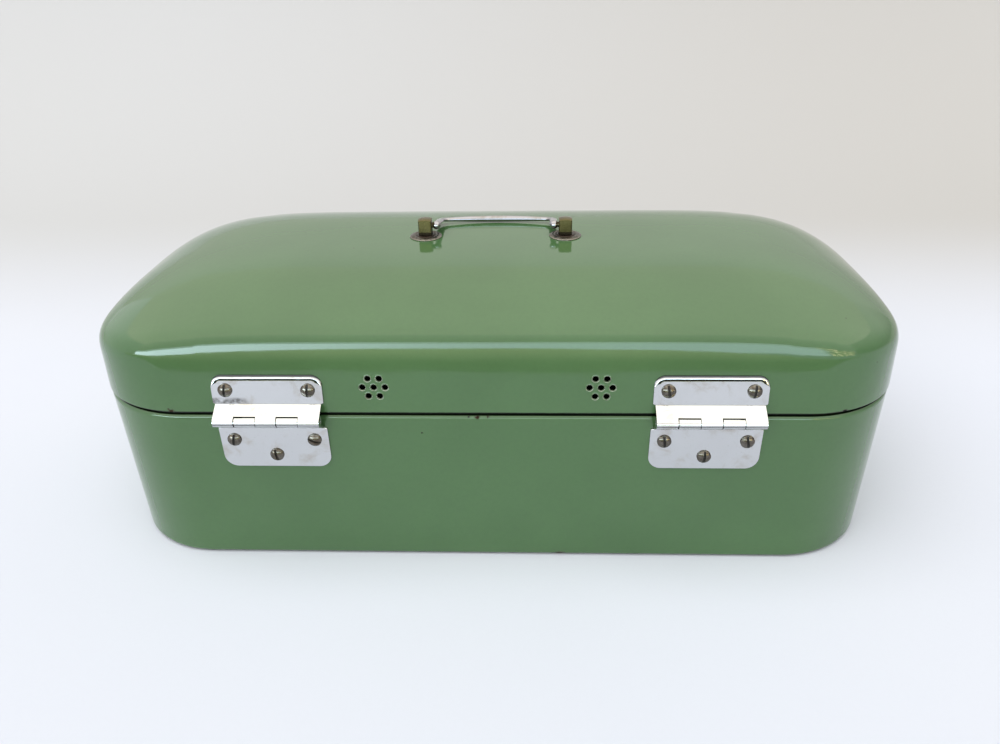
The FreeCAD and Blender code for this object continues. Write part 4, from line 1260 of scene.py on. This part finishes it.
FRONT = Matrix.Rotation(math.pi, 4, "Z")
piece("latch_lid_plate_look", moved(latch_plate(), FRONT), "latch_lid_plate", "lid", MAT_LATCH, 0.14, 2, 30)
piece("latch_hasp_look", moved(latch_hasp(), FRONT), "latch_hasp", "hasp", MAT_LATCH, 0.22, 3, 30)
piece("latch_catch_plate_look", moved(latch_catch(), FRONT), "latch_catch_plate", "base", MAT_LATCH, 0.14, 2, 30)
lp = shift(moved(revolve([(0, -18), (0.75, -18), (0.98, -17.8), (0.98, 17.8), (0.75, 18), (0, 18)], 32), stand((1, 0, 0))), 0, LX, LZ)
piece("latch_pin_look", moved(lp, FRONT), "latch_pin", "lid", MAT_PIN)
sa, na, sb, nb = [], [], [], []
for su in (-1, 1):
    sa.append(place_on_wall(screw(2.9, 1.7, 1.5, 6.6, 0.8, 0.8, 12 * su), su * LSX, LEAF_T, LSZ_U, True, -1))
    na.append(place_on_wall(moved(nut(5.5, 2.4, 1.5), Matrix.Rotation(0.5 * su, 4, "Z")), su * LSX, -T - 0.05, LSZ_U, True, -1, True))
    sb.append(place_on_wall(screw(2.9, 1.7, 1.5, 6.6, 0.8, 0.8, -9 * su), su * LSX, LEAF_T, LSZ_L, False, -1))
    nb.append(place_on_wall(moved(nut(5.5, 2.4, 1.5), Matrix.Rotation(0.9 * su, 4, "Z")), su * LSX, -T - 0.05, LSZ_L, False, -1, True))
piece("latch_lid_screws_look", joined(sa), "latch_lid_screws", "lid", MAT_SCREW, 0.08, 2, 35, second=MAT_SLOT)
piece("latch_lid_nuts_look", joined(na), "latch_lid_nuts", "lid", MAT_NUT, 0.1, 2, 35)
piece("latch_catch_screws_look", joined(sb), "latch_catch_screws", "base", MAT_SCREW, 0.08, 2, 35, second=MAT_SLOT)
piece("latch_catch_nuts_look", joined(nb), "latch_catch_nuts", "base", MAT_NUT, 0.1, 2, 35)


# ------------------------------------------------------------------ stage, light and camera
def sweep_floor():
    """Pale paper: a floor that turns up a little at the far side."""
    prof = [(3.4, 0.0), (1.0, 0.0), (0.2, 0.0), (-0.6, 0.0)]
    R = 1.2
    prof += [(-0.6 - R * math.sin(a), R - R * math.cos(a)) for a in np.linspace(0.03, 0.72, 20)]
    xs = np.linspace(-3.4, 3.4, 18)
    v = [(x, y, z) for y, z in prof for x in xs]
    n = len(xs)
    f = [[k * n + i, k * n + i + 1, (k + 1) * n + i + 1, (k + 1) * n + i] for k in range(len(prof) - 1) for i in range(n - 1)]
    me = bpy.data.meshes.new("paper")
    me.from_pydata(v, [], [q[::-1] for q in f])
    for p in me.polygons:
        p.use_smooth = True
    o = new_object("stage_paper", me)
    m = Nodes("paper")
    pos = m.add("ShaderNodeTexCoord").outputs["Object"]
    xyz = m.add("ShaderNodeSeparateXYZ")
    m.put(xyz, 0, pos)
    near = m.ramp(xyz.outputs["Y"], -0.55, -0.1, 0.0, 1.0)
    c = m.mix(m.ramp(m.noise(pos, 2.2, 3), 0.3, 0.7), (0.700, 0.725, 0.800, 1), (0.720, 0.742, 0.812, 1))
    # painted shade: the far paper and its rise are darker and greyer than the near floor, darker still towards -X
    far = m.mix(m.ramp(xyz.outputs["X"], -0.8, 0.8), (0.500, 0.486, 0.466, 1), (0.560, 0.562, 0.566, 1))
    c = m.mix(near, far, c)
    c = m.mix(m.math("MULTIPLY", m.ramp(m.noise(pos, 420.0, 2), 0.4, 0.7), 0.03), c, (0.6, 0.62, 0.65, 1))
    m.shader(Base_Color=c, Roughness=0.92)
    me.materials.append(m.owner)
    return o


def card(name, corners, colour, strength, diffuse=False, gradient=None):
    """A flat card that only reflections see: a lit window, or a dark edge of the room."""
    me = bpy.data.meshes.new(name)
    me.from_pydata(corners, [], [[0, 1, 2, 3]])
    o = new_object(name, me)
    m = Nodes(name)
    e = m.add("ShaderNodeEmission")
    m.put(e, "Color", colour)
    if gradient:
        pos = m.add("ShaderNodeTexCoord").outputs["Object"]
        s = m.add("ShaderNodeSeparateXYZ")
        m.put(s, 0, pos)
        m.put(e, "Strength", m.ramp(s.outputs["X"], gradient[0], gradient[1], gradient[2] * strength, strength))
    else:
        m.put(e, "Strength", strength)
    out = m.add("ShaderNodeOutputMaterial")
    m.t.links.new(e.outputs[0], out.inputs[0])
    me.materials.append(m.owner)
    o.visible_camera = False
    o.visible_diffuse = diffuse
    o.visible_shadow = False
    return o


def fill(name, energy, colour, direction, angle):
    """A broad soft light that adds no highlight of its own."""
    l = bpy.data.lights.new(name, "SUN")
    l.energy, l.color, l.angle = energy, colour, math.radians(angle)
    o = bpy.data.objects.new(name, l)
    scene.collection.objects.link(o)
    o.rotation_euler = Vector(direction).to_track_quat("Z", "Y").to_euler()
    o.visible_glossy = False


sweep_floor()
def ragged_card(name, y, tops, colour, strength, glow=None):
    """Like card, with a top edge through (x, z) points."""
    n = len(tops)
    me = bpy.data.meshes.new(name)
    me.from_pydata([(x, y, 0.0) for x, z in tops] + [(x, y, z) for x, z in tops], [], [[i, i + 1, n + i + 1, n + i] for i in range(n - 1)])
    o = new_object(name, me)
    m = Nodes(name)
    pos = m.add("ShaderNodeTexCoord").outputs["Object"]
    e = m.add("ShaderNodeEmission")
    m.put(e, "Color", m.mix(m.noise(pos, 9.0, 2), colour, tuple(c * 0.5 for c in colour[:3]) + (1,)))
    m.put(e, "Strength", strength)
    if glow:
        at = m.add("ShaderNodeSeparateXYZ")
        m.put(at, 0, pos)
        m.put(e, "Strength", m.ramp(at.outputs["Z"], glow[0], glow[1], strength, glow[2]))
    out = m.add("ShaderNodeOutputMaterial")
    m.t.links.new(e.outputs[0], out.inputs[0])
    me.materials.append(m.owner)
    o.visible_camera = o.visible_diffuse = o.visible_shadow = False


ragged_card("stage_room_edge", 0.50, [(-1.3, 0.018), (-0.55, 0.024), (-0.35, 0.050), (-0.2, 0.094), (0.0, 0.120), (0.2, 0.112), (0.35, 0.080), (1.3, 0.076)], (0.72, 0.76, 0.46, 1), 0.8, glow=(0.030, 0.105, 3.7))
card("stage_window", [(-0.68, 1.30, 0.0), (1.9, 1.30, 0.0), (1.9, 1.30, 0.300), (-0.68, 1.30, 0.330)], (0.76, 0.95, 1.04, 1), 12.0, gradient=(-0.1, 1.0, 0.42))

card("stage_window_sky", [(-0.72, 1.33, 0.20), (1.9, 1.33, 0.20), (1.9, 1.33, 0.43), (-0.72, 1.33, 0.44)], (0.80, 0.96, 1.02, 1), 3.9)


def sparkle():
    """Sun through leaves at the far end of the window, seen only as a broken glint."""
    me = bpy.data.meshes.new("stage_leaves")
    me.from_pydata([(-1.60, 1.28, 0.0), (-0.69, 1.28, 0.0), (-0.69, 1.28, 0.42), (-1.60, 1.28, 0.34)], [], [[0, 1, 2, 3]])
    o = new_object("stage_leaves", me)
    m = Nodes("stage_leaves")
    pos = m.add("ShaderNodeTexCoord").outputs["Object"]
    k = m.noise(m.scaled(pos, (13.0, 1.0, 42.0)), 1.0, 3, 0.6, 0.6)
    e = m.add("ShaderNodeEmission")
    m.put(e, "Color", (1.0, 0.90, 0.55, 1))
    m.put(e, "Strength", m.ramp(k, 0.50, 0.64, 0.9, 16.0))
    out = m.add("ShaderNodeOutputMaterial")
    m.t.links.new(e.outputs[0], out.inputs[0])
    me.materials.append(m.owner)
    o.visible_camera = o.visible_diffuse = o.visible_shadow = False


def wall(name, corners, colour, axis, lo, hi, a, b):
    """A big soft reflector whose brightness runs from a to b along an axis."""
    me = bpy.data.meshes.new(name)
    me.from_pydata(corners, [], [[0, 1, 2, 3]])
    o = new_object(name, me)
    m = Nodes(name)
    pos = m.add("ShaderNodeTexCoord").outputs["Object"]
    xyz = m.add("ShaderNodeSeparateXYZ")
    m.put(xyz, 0, pos)
    e = m.add("ShaderNodeEmission")
    m.put(e, "Color", colour)
    m.put(e, "Strength", m.ramp(xyz.outputs[axis], lo, hi, a, b))
    out = m.add("ShaderNodeOutputMaterial")
    m.t.links.new(e.outputs[0], out.inputs[0])
    me.materials.append(m.owner)
    o.visible_camera = o.visible_diffuse = o.visible_shadow = False


sparkle()
wall("stage_ceiling", [(-3.2, -3.0, 2.2), (3.2, -3.0, 2.2), (3.2, 2.3, 2.2), (-3.2, 2.3, 2.2)], (1.0, 0.965, 0.85, 1), "Y", -3.0, 0.3, 1.30, 2.30)
wall("stage_front", [(-3.2, 2.3, 0.1), (3.2, 2.3, 0.1), (3.2, 2.3, 2.2), (-3.2, 2.3, 2.2)], (1.0, 0.98, 0.92, 1), "Z", 0.8, 2.2, 1.25, 1.75)
wall("stage_back", [(-3.2, -3.0, 0.0), (3.2, -3.0, 0.0), (3.2, -3.0, 2.2), (-3.2, -3.0, 2.2)], (1.0, 0.985, 0.93, 1), "Z", 0.3, 2.2, 0.72, 1.25)
wall("stage_side_a", [(3.2, -3.0, 0.0), (3.2, 2.3, 0.0), (3.2, 2.3, 2.2), (3.2, -3.0, 2.2)], (0.97, 0.99, 1.0, 1), "Z", 0.2, 2.2, 1.05, 1.45)
wall("stage_side_b", [(-3.2, -3.0, 0.0), (-3.2, 2.3, 0.0), (-3.2, 2.3, 2.2), (-3.2, -3.0, 2.2)], (1.0, 0.98, 0.93, 1), "Z", 0.2, 2.2, 0.45, 1.2)
fill("stage_fill", 2.62, (0.985, 0.99, 1.0), (0.22, 0.38, 0.89), 80)

w = Nodes("studio", world=True)
d = w.add("ShaderNodeTexCoord").outputs["Generated"]
s = w.add("ShaderNodeSeparateXYZ")
w.put(s, 0, d)
col = w.mix(w.ramp(s.outputs["Z"], -0.1, 0.9), (0.345, 0.355, 0.365, 1), (0.48, 0.47, 0.45, 1))
bg = w.add("ShaderNodeBackground")
w.put(bg, "Color", col)
w.put(bg, "Strength", 1.0)
wo = w.add("ShaderNodeOutputWorld")
w.t.links.new(bg.outputs[0], wo.inputs[0])
scene.world = w.owner

cam = bpy.data.cameras.new("camera")
cam.sensor_width, cam.sensor_fit, cam.lens = 36.0, "HORIZONTAL", 28.4278
cam.clip_start, cam.clip_end = 0.01, 50.0
co = bpy.data.objects.new("camera", cam)
scene.collection.objects.link(co)
r, u, f = Vector((-0.999310, -0.033289, -0.016446)), Vector((0.001391, -0.476193, 0.879339)), Vector((0.037103, -0.878710, -0.475911))
m4 = Matrix((r, u, -f)).transposed().to_4x4()
m4.translation = Vector((-0.0201726, 0.4481371, 0.3070909))
co.matrix_world = m4
scene.camera = co

scene.view_settings.view_transform = "Standard"
scene.view_settings.look = "None"
scene.view_settings.exposure = 0.0
scene.view_settings.gamma = 1.0
scene.cycles.use_denoising = True
